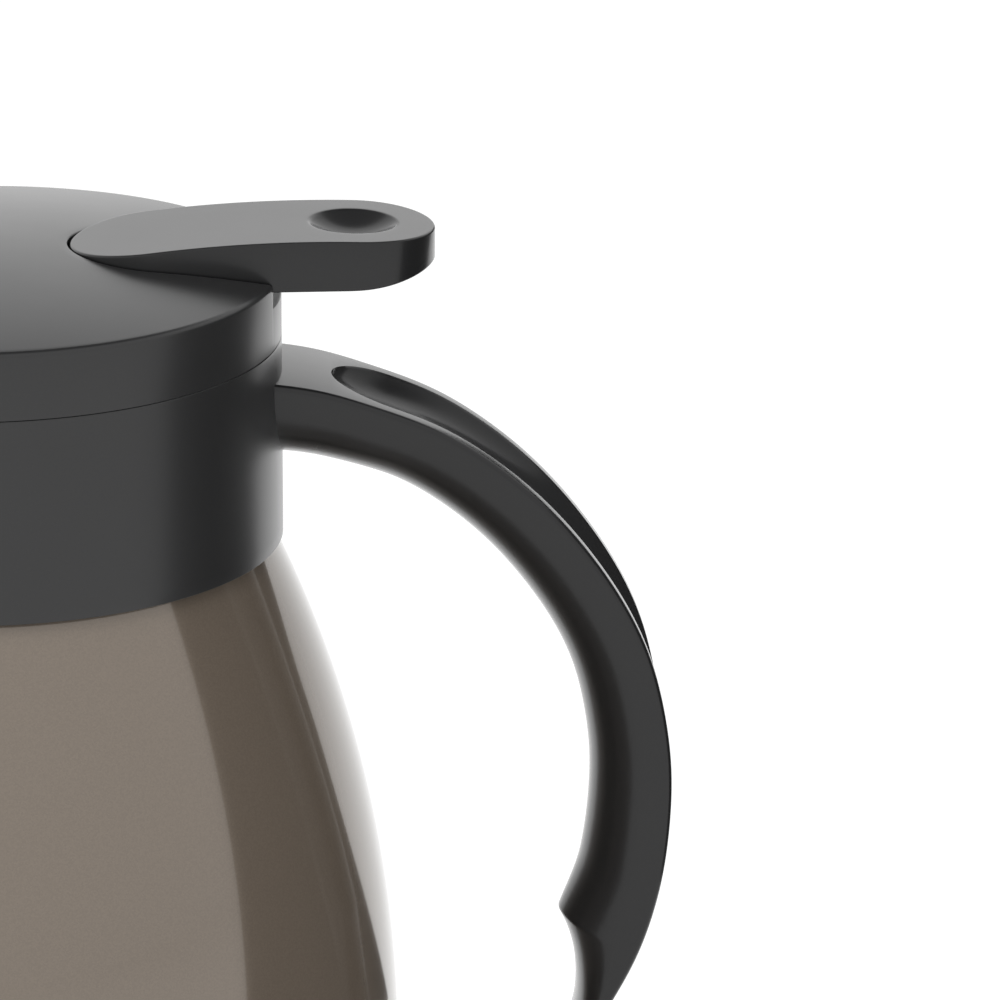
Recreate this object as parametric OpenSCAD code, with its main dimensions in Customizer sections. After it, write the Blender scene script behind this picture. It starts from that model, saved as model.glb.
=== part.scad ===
// Vacuum carafe with a screw-in lid, a rocking thumb lever and an open hook handle.
// Millimetres. The origin is the centre of the base on the table, +Z is up,
// the handle and the lever point along +X and the pouring lip along -X.

/* [Steel body] */
// Largest radius of the outer shell
body_r = 71.2; // [67:0.2:76]
// Height of that widest ring above the table
body_mid_z = 82; // [74:1:90]
// Height of the shoulder ledge that carries the collar
shoulder_z = 175.2; // [168:0.2:184]
// Radius of the long curve below the widest ring
foot_arc = 300; // [270:5:340]
// Thickness of the steel sheet
steel_t = 1; // [0.8:0.1:1.2]
// Width of the vacuum space between shell and liner
vacuum_gap = 5.2; // [4:0.2:6]
// Height of the liner's floor above the table
liner_floor_z = 18; // [17:0.5:26]
// Radius where the liner's wall turns into its floor
liner_corner_r = 12; // [8:1:14]

/* [Steel neck] */
// Radius of the mouth inside the liner
mouth_r = 36; // [35.6:0.1:37]
// Vacuum space between the two necks
neck_gap = 1.5; // [1:0.1:1.7]
// Height of the neck above the shoulder ledge
neck_h = 19.8; // [18:0.2:21]
// Length of the cone between the liner's neck and its flank
liner_shoulder_h = 14; // [12:1:18]

/* [Foot] */
// Distance of the plastic foot above the table
foot_lift = 0.8; // [0.6:0.1:1.2]
// Visible height of the plastic foot
foot_h = 4.2; // [3.4:0.2:5]
// Height of the snap ring that enters the shell
foot_snap_h = 3.6; // [2.4:0.2:4.2]
// Gap round the snap ring and round the pad
foot_snap_gap = 0.2; // [0.1:0.05:0.3]
// Wall of the plastic foot
foot_wall = 2; // [1.6:0.1:2.4]
// Width of the plastic rim round the rubber pad
pad_rim = 6; // [5:0.5:12]
// Thickness of the rubber pad
pad_t = 1.6; // [1.4:0.1:2]
// Thickness of the steel bottom disc above the foot
bottom_t = 1; // [0.8:0.1:1.2]
// Height of the bottom disc above the shell's lower edge
bottom_rise = 6; // [5:0.5:8]
// Radius of the getter capsule in the vacuum space
getter_r = 11; // [8:1:14]
// Thickness of the getter capsule
getter_t = 2; // [1.4:0.2:2.6]
// Radius of the plug that seals the evacuation hole
plug_r = 5; // [4:0.5:7]
// Thickness of that plug
plug_t = 1.4; // [1:0.2:1.8]

/* [Collar] */
// Room between the neck's sleeve and the collar's inner face
collar_room = 7.2; // [6.8:0.1:8]
// Overhang of the collar over the shell's shoulder
collar_over = 1.73; // [1.4:0.01:2.2]
// Height of the collar from its lower edge to the lid seam
collar_h = 34.8; // [34:0.2:36]
// Thickness of the collar's wall
collar_t = 2.6; // [2.4:0.1:3]
// Depth of the drip deck below the collar's top edge
deck_drop = 2.5; // [2.2:0.1:3]
// Thickness of the drip deck
deck_t = 2.5; // [2:0.1:2.8]
// Gap between the drip deck and the neck insert
deck_gap = 0.2; // [0.1:0.05:0.3]
// Seating gap between the collar's lower edge and the shell
seat_gap = 0.2; // [0.1:0.05:0.4]

/* [Pouring lip] */
// Reach of the lip beyond the collar
lip_reach = 9.5; // [6:0.5:14]
// Radius of the rounded lip at its tip
lip_tip_r = 4.6; // [4.4:0.1:6]
// Half width of the lip where it leaves the collar
lip_half_w = 13; // [12:0.5:16]
// Height of the lip's tip
lip_tip_h = 3.95; // [3:0.05:5]
// Depth of the lip's root inside the collar's inner face
lip_root = 4; // [3:0.5:5]
// Depth of the space behind the lip inside the collar's inner face
lip_open = 1.6; // [1:0.1:2]
// Thickness of the lip's walls
lip_t = 2; // [1.6:0.1:2.4]
// Half width of the pouring channel through the collar
channel_half_w = 8; // [6:0.5:9]
// Height of the pouring channel
channel_h = 6; // [4.4:0.2:6.4]

/* [Neck insert and gasket] */
// Step from the mouth out to the threaded ring that takes the lid
insert_step = 1.5; // [1.4:0.05:1.8]
// Wall of the threaded ring
insert_t = 3; // [2.6:0.1:3.2]
// Wall of the sleeve that grips the steel neck
sleeve_t = 2.6; // [2:0.1:3]
// Length of that sleeve down the steel neck
sleeve_h = 15.4; // [12:0.2:16]
// Gap between sleeve and neck
sleeve_gap = 0.1; // [0.05:0.05:0.2]
// Gap between the insert's top and the top edge of the collar
insert_drop = 0.6; // [0.5:0.1:0.9]
// Thickness of the silicone gasket on the mouth
gasket_t = 1.2; // [1:0.1:1.4]
// Distance of the gasket's inner edge from the mouth
gasket_back = 0.4; // [0.3:0.05:0.5]
// Thickness of the insert's ledge over the gasket
ledge_t = 1.6; // [1.4:0.1:2]
// Distance of the ledge's inner edge from the mouth
ledge_back = 0.6; // [0.5:0.05:0.8]

/* [Lid] */
// Open seam between the collar and the lid
seam = 0.3; // [0.3:0.1:0.6]
// Height of the lid's straight side
skirt_h = 11.4; // [11:0.1:12]
// Height of the dome above the lid's rim
dome_h = 4.5; // [4:0.1:5.4]
// Wall of the lid
lid_t = 2.2; // [2:0.1:2.6]
// Radius of the rounded rim
rim_round = 1; // [0.6:0.1:1.4]

/* [Thumb lever] */
// Distance of the rounded inner tip from the axis
lever_tip_x = 16.4; // [15.8:0.2:17]
// Reach of the rounded thumb end beyond the lid's side
lever_over = 26; // [23:0.5:32]
// Width of the lever
lever_w = 27; // [25:0.5:28]
// Height of the inner tip above the lid's rim
lever_tip_up = 3.8; // [3.4:0.1:4.4]
// Height of the thumb end above the lid's rim
lever_end_up = 6.2; // [5.4:0.1:7]
// Rise of the curved top over the straight line from tip to end
lever_crown = 2; // [1.4:0.1:2.6]
// Depth of the lever's flat underside below the rim
lever_under = 1.5; // [1.3:0.1:1.7]
// Thickness of the rounded thumb end
lever_end_t = 5.4; // [4.6:0.1:6]
// Distance from the dimple's centre to where the underside leaves the level
under_bend = 2; // [0:0.5:4]
// Wall round the hollow underside, and its rib
lever_wall = 2.2; // [1.8:0.1:2.6]
// Height of the hollow above the underside
hollow_h = 3.2; // [2:0.1:3.6]
// Distance of the hollow from the lug
hollow_start = 1.6; // [1:0.1:3]
// Reach of the hollow beyond the dimple's centre
hollow_end = 4; // [2:0.5:5]
// Distance of the hollow's rib before the dimple's centre
rib_back = 9; // [7:0.5:11]
// Diameter of the round thumb dimple
dimple_d = 15.4; // [12:0.2:17]
// Depth of the dimple
dimple_h = 2.4; // [1.6:0.1:3]
// Open gap round the lever in its recess
lever_gap = 0.4; // [0.3:0.05:0.6]
// Gap under the lever in its recess
under_gap = 0.3; // [0.25:0.05:0.5]
// Travel of the lever in degrees
lever_travel = 10; // [8:0.5:10.5]

/* [Lever pivot and lifting arm] */
// Distance of the pivot inside the lid's outer face
pivot_in = 12; // [11.4:0.1:12.6]
// Depth of the pivot below the lid's rim
pivot_drop = 4.5; // [4.2:0.1:4.8]
// Diameter of the pivot pin
pin_d = 3; // [2.6:0.1:3.2]
// Length of the pivot pin
pin_l = 25; // [23:0.5:26]
// Clearance of the pin in its bearing blocks, on the radius
pin_seat_gap = 0.02; // [0.01:0.01:0.04]
// Running clearance of the pin in the lever, on the radius
pin_gap = 0.05; // [0.03:0.01:0.08]
// Radius of the lug round the pin
lug_r = 3.8; // [3.4:0.1:3.9]
// Width of the lug and of the arm behind it
lug_w = 12; // [11:0.5:13]
// Side gap between the lug and its bearing blocks
lug_gap = 0.4; // [0.3:0.05:0.5]
// Gap between the lug and the ends of its slot
slot_gap = 1; // [0.8:0.1:1.2]
// Thickness of the recess floor that carries the bearing blocks
floor_t = 1.8; // [1.6:0.1:2]
// Wall of the bearing blocks under the pin
block_wall = 2.4; // [2:0.1:2.6]
// Reach of the bearing blocks past the lug, along the lever
block_over = 0.8; // [0.6:0.1:1]
// Wall of the bearing blocks beyond the ends of the pin
block_end = 1; // [0.6:0.1:1.2]
// Gap between the guide plate and the arm above it
arm_gap = 0.8; // [0.7:0.1:1]
// Thickness of the arm
arm_t = 2.8; // [2.4:0.1:3]
// Rise of the arm towards its bend
arm_rise = 1.4; // [1:0.1:1.6]
// Distance of the arm's bend inside the cup's wall
arm_bend = 4.5; // [4:0.1:5]
// Gap between the arm and the flange under it
arm_flange_gap = 1; // [0.8:0.1:1.2]
// Length of the arm's level end past the stem's axis
arm_level = 6; // [5:0.5:7]
// Gap between the fork of the arm and the valve stem
fork_gap = 0.4; // [0.3:0.05:0.6]
// Extra length of the fork's slot, for the swing of the arm
fork_back = 1; // [0.8:0.1:1.6]
// Length of the fork beyond the stem's axis
fork_over = 4; // [3.4:0.1:4.4]

/* [Stopper] */
// Gap between the stopper and the mouth
stopper_gap = 1; // [0.8:0.1:1.2]
// Gap between the stopper's upper ring and the threaded ring
thread_gap = 0.6; // [0.5:0.05:0.8]
// Wall of the stopper cup
cup_t = 2; // [1.6:0.1:2.2]
// Depth of the stopper below the lid seam
stopper_h = 35; // [33:0.5:37]
// Thickness of the stopper's floor
cup_floor_t = 2.5; // [2:0.1:3]
// Radius of the valve hole in the floor
valve_hole_r = 9.5; // [8:0.5:10]
// Thickness of the flange that closes the lid from below
flange_t = 1.6; // [1.4:0.1:1.8]
// Height of the stopper's upper ring above the threaded ring's foot
cup_step = 2; // [1.6:0.1:2.6]
// Gap between the gasket under the flange and the threaded ring
lid_gasket_gap = 0.3; // [0.25:0.05:0.4]
// Number of pouring windows round the cup
windows = 8; // [6:1:10]
// Height of each window
window_h = 6; // [5:0.2:6.4]
// Width of each window
window_w = 14; // [10:0.5:15]
// Height of the seal groove round the stopper
seal_h = 5; // [4:0.2:6]
// Depth of that groove
seal_depth = 1.2; // [1:0.1:1.3]
// Height of the seal groove above the stopper's lower edge
seal_rise = 8; // [7:0.5:9]
// Sliding clearance of the seal lips in the mouth
seal_gap = 0.08; // [0.05:0.01:0.1]
// Clearance of the seal ring in its groove
seal_seat_gap = 0.05; // [0.03:0.01:0.08]
// Gap above and below the seal ring in its groove
seal_side_gap = 0.1; // [0.05:0.05:0.15]
// Height of the ring's band beyond the groove
seal_band = 0.3; // [0.2:0.05:0.4]
// Number of seal lips
seal_lips = 3; // [2:1:4]
// Height of each seal lip
seal_lip_h = 0.7; // [0.5:0.1:0.9]

/* [Valve] */
// Diameter of the valve stem
stem_d = 5; // [4.6:0.1:5.4]
// Running clearance of the stem in its guide, on the radius
stem_gap = 0.05; // [0.03:0.01:0.08]
// Radius of the valve disc
valve_r = 13; // [12:0.5:14]
// Thickness of the valve disc
valve_t = 2; // [1.6:0.1:2.4]
// Thickness of the silicone ring under the valve disc
valve_seal_t = 1.2; // [1:0.1:1.6]
// Gap between that ring and its seat
valve_gap = 0.3; // [0.25:0.05:0.4]
// Radial reach of the valve's ring outside the hole
valve_seal_back = 0.6; // [0.4:0.1:0.8]
// Wall of the disc's hub round the stem
hub_wall = 1.6; // [1.2:0.1:1.8]
// Height of that hub
hub_h = 2; // [1.6:0.1:2.4]
// Depth of the guide plate's underside below the lid
guide_drop = 4; // [3.9:0.1:4.4]
// Thickness of the guide plate above the valve
guide_t = 2; // [1.8:0.1:2.4]
// Gap between the guide plate and the cup's wall
guide_gap = 0.1; // [0.05:0.05:0.2]
// Wall of the guide's tube round the stem
tube_wall = 1.2; // [1:0.1:1.4]
// Length of that tube under the plate
tube_h = 3; // [2:0.5:4]
// Width of the ledge under the guide plate
guide_ledge_w = 1.5; // [1.2:0.1:1.8]
// Height of that ledge
guide_ledge_h = 1; // [0.8:0.1:1.2]
// Wall between that ledge and the windows
window_top = 0.4; // [0.3:0.1:0.6]
// Length of the stem beyond the clip
stem_over = 0.8; // [0.6:0.1:1]
// Radius of the clip on the stem's head
clip_r = 5.4; // [5:0.1:6]
// Thickness of that clip
clip_t = 1.5; // [1.2:0.1:1.8]
// Gap between the clip and the fork under it
clip_gap = 0.3; // [0.25:0.05:0.4]
// Mean radius of the return spring's coils
spring_r = 5; // [4.6:0.1:6]
// Thickness of the spring wire
spring_wire = 1; // [0.8:0.1:1.2]
// Number of turns of the spring
spring_turns = 6; // [5:1:7]

/* [Handle] */
// Reach of the handle beyond the collar
handle_reach = 65.6; // [60:0.2:72]
// Height of the handle from its root to its tip
handle_drop = 124; // [112:1:134]
// Height of the handle's upper face above the shoulder ledge
handle_root_z = 28.8; // [27:0.2:30]
// Thickness of the grip
grip_t = 13.2; // [11.5:0.1:14]
// Width of the grip
grip_w = 27; // [24:0.5:30]
// Thickness of the handle at its lower tip
tip_t = 2.2; // [1.8:0.1:3]
// Width of the handle at its lower tip
tip_w = 19; // [15:0.5:22]
// Distance of the finger stop from the tip, along the handle
stop_dist = 23; // [20:1:28]
// Length over which the grip thickens towards the finger stop
stop_blend = 14; // [10:0.5:18]
// Length beyond the finger stop over which the handle widens
taper_l = 20; // [14:1:26]
// Rise of the finger stop over the grip
stop_rise = 0.8; // [0:0.1:2]
// Thickness that the handle gains towards its root
root_flare = 1.4; // [0:0.1:2]
// Length of that thicker root
flare_l = 30; // [20:1:40]
// How fast the handle thins below the stop, 1 is an even taper
tip_hollow = 1.75; // [1:0.05:2]
// Rounding of the two outer edges
edge_r = 1; // [0.6:0.1:1.4]
// Width of the groove in the outer face
groove_w = 20; // [16:0.5:21]
// Depth of that groove
groove_h = 3; // [2:0.1:3.4]
// Least width of the flat rim beside the groove
groove_rim = 1.4; // [1:0.1:2]
// Length of the groove's round ends
groove_round = 11; // [8:0.5:16]
// Distance of the groove's round start from the collar
groove_start = 8.6; // [6:0.2:12]
// Distance of the groove's round end from the tip
groove_end = 26; // [22:1:34]

/* [Fasteners] */
// Radius of the shank of the handle screws
bolt_r = 1.5; // [1.3:0.1:1.7]
// Length of the handle screws under the head
bolt_l = 15; // [12:0.5:16]
// Radius of the handle screws' heads
bolt_head_r = 2.8; // [2.5:0.1:3]
// Distance between the two handle screws
bolt_pitch = 14; // [12:0.5:15]
// Depth of the handle screws below the handle's upper face
bolt_drop = 6.6; // [6:0.1:7]
// Clearance of the handle screws in the collar, on the radius
bolt_gap = 0.2; // [0.1:0.05:0.3]
// Thickness of the pads under the handle screws' heads
bolt_pad_t = 2.4; // [2:0.1:2.6]
// Width of the pads' edge round the heads
bolt_pad_edge = 1; // [0.8:0.1:1.2]
// Spare depth of the bores beyond the screws
bore_spare = 1; // [0.6:0.1:1.4]
// Distance of the lid screws outside the threaded ring
lid_bolt_out = 3.5; // [3.3:0.1:3.9]
// Radius of the shank of the lid screws
lid_bolt_r = 1.1; // [1:0.1:1.3]
// Radius of the lid screws' heads
lid_head_r = 2.4; // [2.2:0.1:2.5]
// Clearance of the lid screws in the flange, on the radius
lid_bolt_gap = 0.15; // [0.1:0.05:0.2]
// Wall of the posts round the lid screws
post_wall = 2; // [1.8:0.1:2.2]
// Length of the lid screws under the head
lid_bolt_l = 7; // [6:0.5:8]
// Height of every screw head
head_h = 1.8; // [1.6:0.1:1.9]

/* [Hidden] */

plastic = [0.24, 0.24, 0.25];
lacquer = [0.5, 0.46, 0.41];
steel = [0.76, 0.76, 0.75];
silicone = [0.55, 0.56, 0.56];
rubber = [0.13, 0.13, 0.13];

// Small overlap of joined shapes, overshoot of cuts, and a length beyond the whole carafe
eps = 0.01;
over = 1;
far = 200;
fine = 180;
medium = 64;
small = 32;

// Heights of the steel parts
shell_low_z = foot_lift + foot_h;
bottom_z = shell_low_z + bottom_rise;
rim_z = shoulder_z + neck_h;
neck_in_r = mouth_r + steel_t;
neck_out_r = neck_in_r + neck_gap + steel_t;
flange_r = neck_out_r;

// Radii from the neck out to the collar, and the curve that leads from there to the belly
insert_r = mouth_r + insert_step;
insert_out_r = insert_r + insert_t;
sleeve_r = neck_out_r + sleeve_gap + sleeve_t;
collar_in_r = sleeve_r + collar_room;
collar_r = collar_in_r + collar_t;
lid_in_r = collar_r - lid_t;
belly_drop = body_r - collar_r + collar_over;
flank_arc = (pow(shoulder_z - body_mid_z, 2) + pow(belly_drop, 2)) / (2 * belly_drop);

// Heights of the collar, the insert and the lid
collar_z = shoulder_z + seat_gap;
seam_z = collar_z + collar_h;
deck_z = seam_z - deck_drop;
gasket_z = rim_z + steel_t;
insert_z = gasket_z + gasket_t;
insert_top_z = seam_z - insert_drop;
ledge_top_z = insert_z + ledge_t;
channel_z = deck_z - deck_t - channel_h;
lid_z = seam_z + seam;
lid_rim_z = lid_z + skirt_h;
dome_top_z = lid_rim_z + dome_h;
dome_arc = (pow(collar_r, 2) + pow(dome_h, 2)) / (2 * dome_h);
bolt_z = shoulder_z + handle_root_z - bolt_drop;
bolt_seat_x = collar_in_r - bolt_pad_t;
lid_bolt_x = insert_out_r + lid_bolt_out;
lid_bolt_turns = [60, 180, 300];

// Lever: a stadium in plan, cut by its side view
lever_half = lever_w / 2;
lever_end_x = collar_r + lever_over;
lever_ax = lever_tip_x + lever_half;
lever_bx = lever_end_x - lever_half;
lever_low_z = lid_rim_z - lever_under;
tip_z = lid_rim_z + lever_tip_up;
end_z = lid_rim_z + lever_end_up;
lever_chord = norm([lever_end_x - lever_tip_x, end_z - tip_z]);
lever_arc = (pow(lever_chord / 2, 2) + pow(lever_crown, 2)) / (2 * lever_crown);
lever_tilt = atan2(end_z - tip_z, lever_end_x - lever_tip_x);
lever_mid = [(lever_tip_x + lever_end_x) / 2, (tip_z + end_z) / 2];
lever_arc_c = lever_mid + (lever_arc - lever_crown) * [sin(lever_tilt), -cos(lever_tilt)];
dimple_top_z = lever_arc_c[1] + sqrt(pow(lever_arc, 2) - pow(lever_bx - lever_arc_c[0], 2));
dimple_r = (pow(dimple_d / 2, 2) + pow(dimple_h, 2)) / (2 * dimple_h);
pivot_x = collar_r - pivot_in;
pivot_z = lid_rim_z - pivot_drop;
recess_z = lever_low_z - under_gap;
slope_spare = 2;
recess_slope = lever_travel + slope_spare;
block_z = pivot_z - pin_d / 2 - block_wall;

// Stopper, guide plate and valve
stopper_r = mouth_r - stopper_gap;
cup_z = seam_z - stopper_h;
cup_in_r = stopper_r - cup_t;
cup_out_r = insert_r - thread_gap;
flange_top_z = lid_z + flange_t;
guide_z = lid_z - guide_drop;
guide_seat_z = guide_z - guide_ledge_h;
window_z = guide_seat_z - window_top - window_h;
seal_z = cup_z + seal_rise;
valve_seat_z = cup_z + cup_floor_t;
valve_seal_z = valve_seat_z + valve_gap;
valve_z = valve_seal_z + valve_seal_t;
hub_r = stem_d / 2 + hub_wall;
spring_low_z = valve_z + valve_t;
arm_low_z = guide_z + guide_t + arm_gap;
arm_top_z = arm_low_z + arm_t;
clip_z = arm_top_z + clip_gap;
stem_top_z = clip_z + clip_t + stem_over;

// Half profile of the steel body, as the region inside two long arcs
module body_region(inset, low_z, high_z) {
    intersection() {
        square_at(0, low_z, body_r, high_z - low_z);
        union() {
            intersection() {
                translate([body_r - flank_arc, body_mid_z])
                    circle(r = flank_arc - inset, $fn = 4 * fine);
                square_at(0, body_mid_z, body_r, far);
            }
            intersection() {
                translate([body_r - foot_arc, body_mid_z])
                    circle(r = foot_arc - inset, $fn = 4 * fine);
                square_at(0, body_mid_z - far, body_r, far + eps);
            }
        }
    }
}

// Radius of the body at a height above, or below, the widest ring
function flank_r(z, inset) =
    body_r - flank_arc + sqrt(pow(flank_arc - inset, 2) - pow(z - body_mid_z, 2));
function foot_r(z, inset) =
    body_r - foot_arc + sqrt(pow(foot_arc - inset, 2) - pow(z - body_mid_z, 2));

pad_r = foot_r(foot_lift, 0) - pad_rim;

module outer_shell() color(lacquer)
    rotate_extrude($fn = fine) difference() {
        union() {
            body_region(0, shell_low_z, shoulder_z);
            square_at(0, shoulder_z - eps, neck_out_r, neck_h + eps);
        }
        body_region(steel_t, shell_low_z - eps, shoulder_z - steel_t);
        square_at(-eps, shoulder_z - 2 * steel_t, neck_out_r - steel_t + eps, neck_h + far);
    }

// Rectangle of the half profile, from a radius and a height
module square_at(r, z, w, h) {
    translate([r, z])
        square([w, h]);
}

// Outline of the liner's half profile, drawn smaller by its wall for the inside
module liner_region(inset) {
    liner_inset = steel_t + vacuum_gap + inset;
    turn_z = shoulder_z - liner_shoulder_h - vacuum_gap;
    throat_z = shoulder_z - vacuum_gap - inset;
    floor_z = liner_floor_z + inset;
    // The corner circle touches both the floor and the long curve of the flank
    corner = liner_corner_r - inset;
    corner_z = floor_z + corner;
    curve = foot_arc - liner_inset;
    corner_x = body_r - foot_arc + sqrt(pow(curve - corner, 2) - pow(corner_z - body_mid_z, 2));
    touch_z = body_mid_z + (corner_z - body_mid_z) * curve / (curve - corner);
    difference() {
        union() {
            body_region(liner_inset, touch_z, turn_z);
            square_at(0, floor_z, corner_x, touch_z - floor_z + eps);
            intersection() {
                translate([corner_x, corner_z])
                    circle(r = corner, $fn = medium);
                square_at(0, floor_z - eps, body_r, touch_z - floor_z + 2 * eps);
            }
            polygon([
                [0, turn_z - eps],
                [flank_r(turn_z, liner_inset), turn_z - eps],
                [neck_in_r - inset, throat_z],
                [0, throat_z]
            ]);
            square_at(0, throat_z - steel_t, neck_in_r - inset, far);
        }
        square_at(-eps, gasket_z, far, far);
    }
}

module inner_liner() color(steel)
    rotate_extrude($fn = fine) {
        difference() {
            liner_region(0);
            liner_region(steel_t);
        }
        square_at(neck_in_r - eps, rim_z, flange_r - neck_in_r + eps, steel_t);
    }

module shell_bottom() color(steel)
    rotate_extrude($fn = fine) difference() {
        intersection() {
            body_region(steel_t, shell_low_z, shoulder_z);
            square_at(0, bottom_z, far, bottom_t);
        }
        square_at(-eps, bottom_z - eps, plug_r / 2 + eps, bottom_t + 2 * eps);
    }

module getter() color(steel)
    translate([0, 0, bottom_z + bottom_t])
        difference() {
            cylinder(r = getter_r, h = getter_t, $fn = medium);
            translate([0, 0, -eps])
                cylinder(r = plug_r, h = getter_t + 2 * eps, $fn = medium);
        }

module vacuum_plug() color(steel)
    translate([0, 0, bottom_z - plug_t])
        cylinder(r = plug_r, h = plug_t, $fn = medium);

module foot_ring() color(plastic) {
    low_r = foot_r(foot_lift, 0) - rim_round;
    snap_r = foot_r(shell_low_z, steel_t) - foot_snap_gap;
    rotate_extrude($fn = fine) difference() {
        union() {
            body_region(0, foot_lift + rim_round, shell_low_z);
            square_at(0, foot_lift, low_r, foot_h);
            translate([low_r, foot_lift + rim_round])
                circle(r = rim_round, $fn = medium);
            square_at(0, shell_low_z - eps, snap_r, foot_snap_h + eps);
        }
        square_at(-eps, foot_lift - eps, pad_r + foot_snap_gap, pad_t - foot_lift + eps);
        square_at(-eps, pad_t + foot_wall, snap_r - foot_wall, far);
    }
}

module foot_pad() color(rubber)
    cylinder(r = pad_r, h = pad_t, $fn = fine);

// Plan of the pouring lip: a wedge whose sides run into the rounded tip. Their ends
// lie just inside the tip's circle, so that each side crosses it once
module lip_plan(inset) {
    tip_x = -(collar_r + lip_reach - lip_tip_r);
    tip_r = lip_tip_r - inset;
    end_r = tip_r - eps;
    root_x = -collar_in_r + lip_root;
    root_w = lip_half_w - inset;
    root_l = root_x - tip_x;
    lean = acos(end_r / norm([root_l, root_w])) - atan2(root_l, root_w);
    translate([tip_x, 0])
        circle(r = tip_r, $fn = medium);
    polygon([
        [tip_x - end_r * sin(lean), end_r * cos(lean)],
        [root_x, root_w],
        [root_x, -root_w],
        [tip_x - end_r * sin(lean), -end_r * cos(lean)]
    ]);
}

// Wedge of the lip between its sloping underside, or floor, and the lid seam
module lip_wedge(inset, back_x, root_z, top_z) {
    end_x = -collar_r - lip_reach - over;
    tip_z = seam_z - lip_tip_h + inset;
    end_z = tip_z + (tip_z - root_z) * over / lip_reach;
    intersection() {
        translate([0, 0, root_z - over])
            linear_extrude(height = top_z - root_z + over)
                lip_plan(inset);
        rotate([90, 0, 0])
            translate([0, 0, -lip_half_w - over])
                linear_extrude(height = 2 * (lip_half_w + over))
                    polygon([
                        [back_x, root_z],
                        [-collar_r, root_z],
                        [end_x, end_z],
                        [end_x, top_z + over],
                        [back_x, top_z + over]
                    ]);
    }
}

// Pouring channel from the threaded ring to the collar's inner face
module channel(grow, back_r, front_r) {
    translate([-front_r, -channel_half_w - grow, channel_z - grow])
        cube([front_r - back_r, 2 * (channel_half_w + grow), channel_h + grow]);
}

module collar() color(plastic)
    difference() {
        union() {
            rotate_extrude($fn = fine) {
                square_at(collar_in_r, collar_z, collar_t, collar_h);
                square_at(insert_out_r + deck_gap, deck_z - deck_t, collar_in_r - insert_out_r, deck_t);
            }
            lip_wedge(0, -collar_in_r - collar_t / 2, channel_z - lip_t, seam_z);
            intersection() {
                channel(lip_t, insert_out_r, collar_r);
                rotate_extrude($fn = fine) {
                    square_at(sleeve_r + deck_gap, collar_z, collar_room, collar_h);
                    square_at(
                        insert_out_r + deck_gap,
                        ledge_top_z + deck_gap,
                        collar_in_r - insert_out_r,
                        collar_h / 2
                    );
                }
            }
            for (side = [-1, 1])
                translate([0, side * bolt_pitch / 2, 0])
                    bolt_pad();
        }
        lip_wedge(lip_t, -collar_in_r + lip_open, channel_z, seam_z + over);
        channel(0, insert_r, collar_in_r + eps);
        for (side = [-1, 1])
            translate([0, side * bolt_pitch / 2, bolt_z])
                rotate([0, 90, 0])
                    cylinder(r = bolt_r + bolt_gap, h = collar_r + over, $fn = small);
    }

// Flat pad inside the collar under the head of one handle screw
module bolt_pad() {
    intersection() {
        translate([bolt_seat_x, -bolt_head_r - bolt_pad_edge, bolt_z - bolt_head_r - bolt_pad_edge])
            cube([bolt_pad_t + collar_t, 2 * (bolt_head_r + bolt_pad_edge), 2 * (bolt_head_r + bolt_pad_edge)]);
        translate([0, 0, collar_z])
            cylinder(r = collar_r - collar_t / 2, h = collar_h, $fn = fine);
    }
}

module neck_insert() color(plastic)
    difference() {
        rotate_extrude($fn = fine) {
            square_at(neck_out_r + sleeve_gap, gasket_z - sleeve_h, sleeve_t, sleeve_h + gasket_t + eps);
            square_at(mouth_r + ledge_back, insert_z, sleeve_r - mouth_r - ledge_back, ledge_t);
            square_at(insert_r, insert_z + eps, insert_t, insert_top_z - insert_z - eps);
        }
        channel(0, insert_r - over, insert_out_r + over);
    }

module mouth_gasket() color(silicone)
    rotate_extrude($fn = fine)
        square_at(mouth_r + gasket_back, gasket_z, neck_out_r - mouth_r - gasket_back, gasket_t);

// Handle: outer edge as a spline through points given as shares of reach and drop
outer_path = [
    [-0.06, -0.004], [0.08, 0.006], [0.21, 0.028], [0.43, 0.076], [0.65, 0.165], [0.825, 0.277],
    [0.938, 0.39], [0.99, 0.508], [1, 0.605], [0.975, 0.727], [0.915, 0.84],
    [0.824, 0.935], [0.755, 1]
];
spans = len(outer_path) - 1;
steps = 5;
stations = spans * steps;

function catmull(a, b, c, d, t) =
    0.5 * (2 * b + (c - a) * t + (2 * a - 5 * b + 4 * c - d) * t * t + (3 * b - a - 3 * c + d) * t * t * t);
function path_point(i) = [
    collar_r + handle_reach * outer_path[i][0],
    shoulder_z + handle_root_z - handle_drop * outer_path[i][1]
];
function before(i) = i > 0 ? path_point(i - 1) : 2 * path_point(0) - path_point(1);
function after(i) = i < spans ? path_point(i + 1) : 2 * path_point(spans) - path_point(spans - 1);
function edge_point(k) =
    let (i = min(floor(k / steps), spans - 1), t = k / steps - i)
    catmull(before(i), path_point(i), path_point(i + 1), after(i + 1), t);
edge_line = [for (k = [0 : stations]) edge_point(k)];
run = [for (k = 0, s = 0; k <= stations; s = s + (k < stations ? norm(edge_line[k + 1] - edge_line[k]) : 0),
    k = k + 1) s];
path_length = run[stations];
function edge_dir(k) =
    let (a = edge_line[max(k - 1, 0)], b = edge_line[min(k + 1, stations)])
    (b - a) / norm(b - a);

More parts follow.
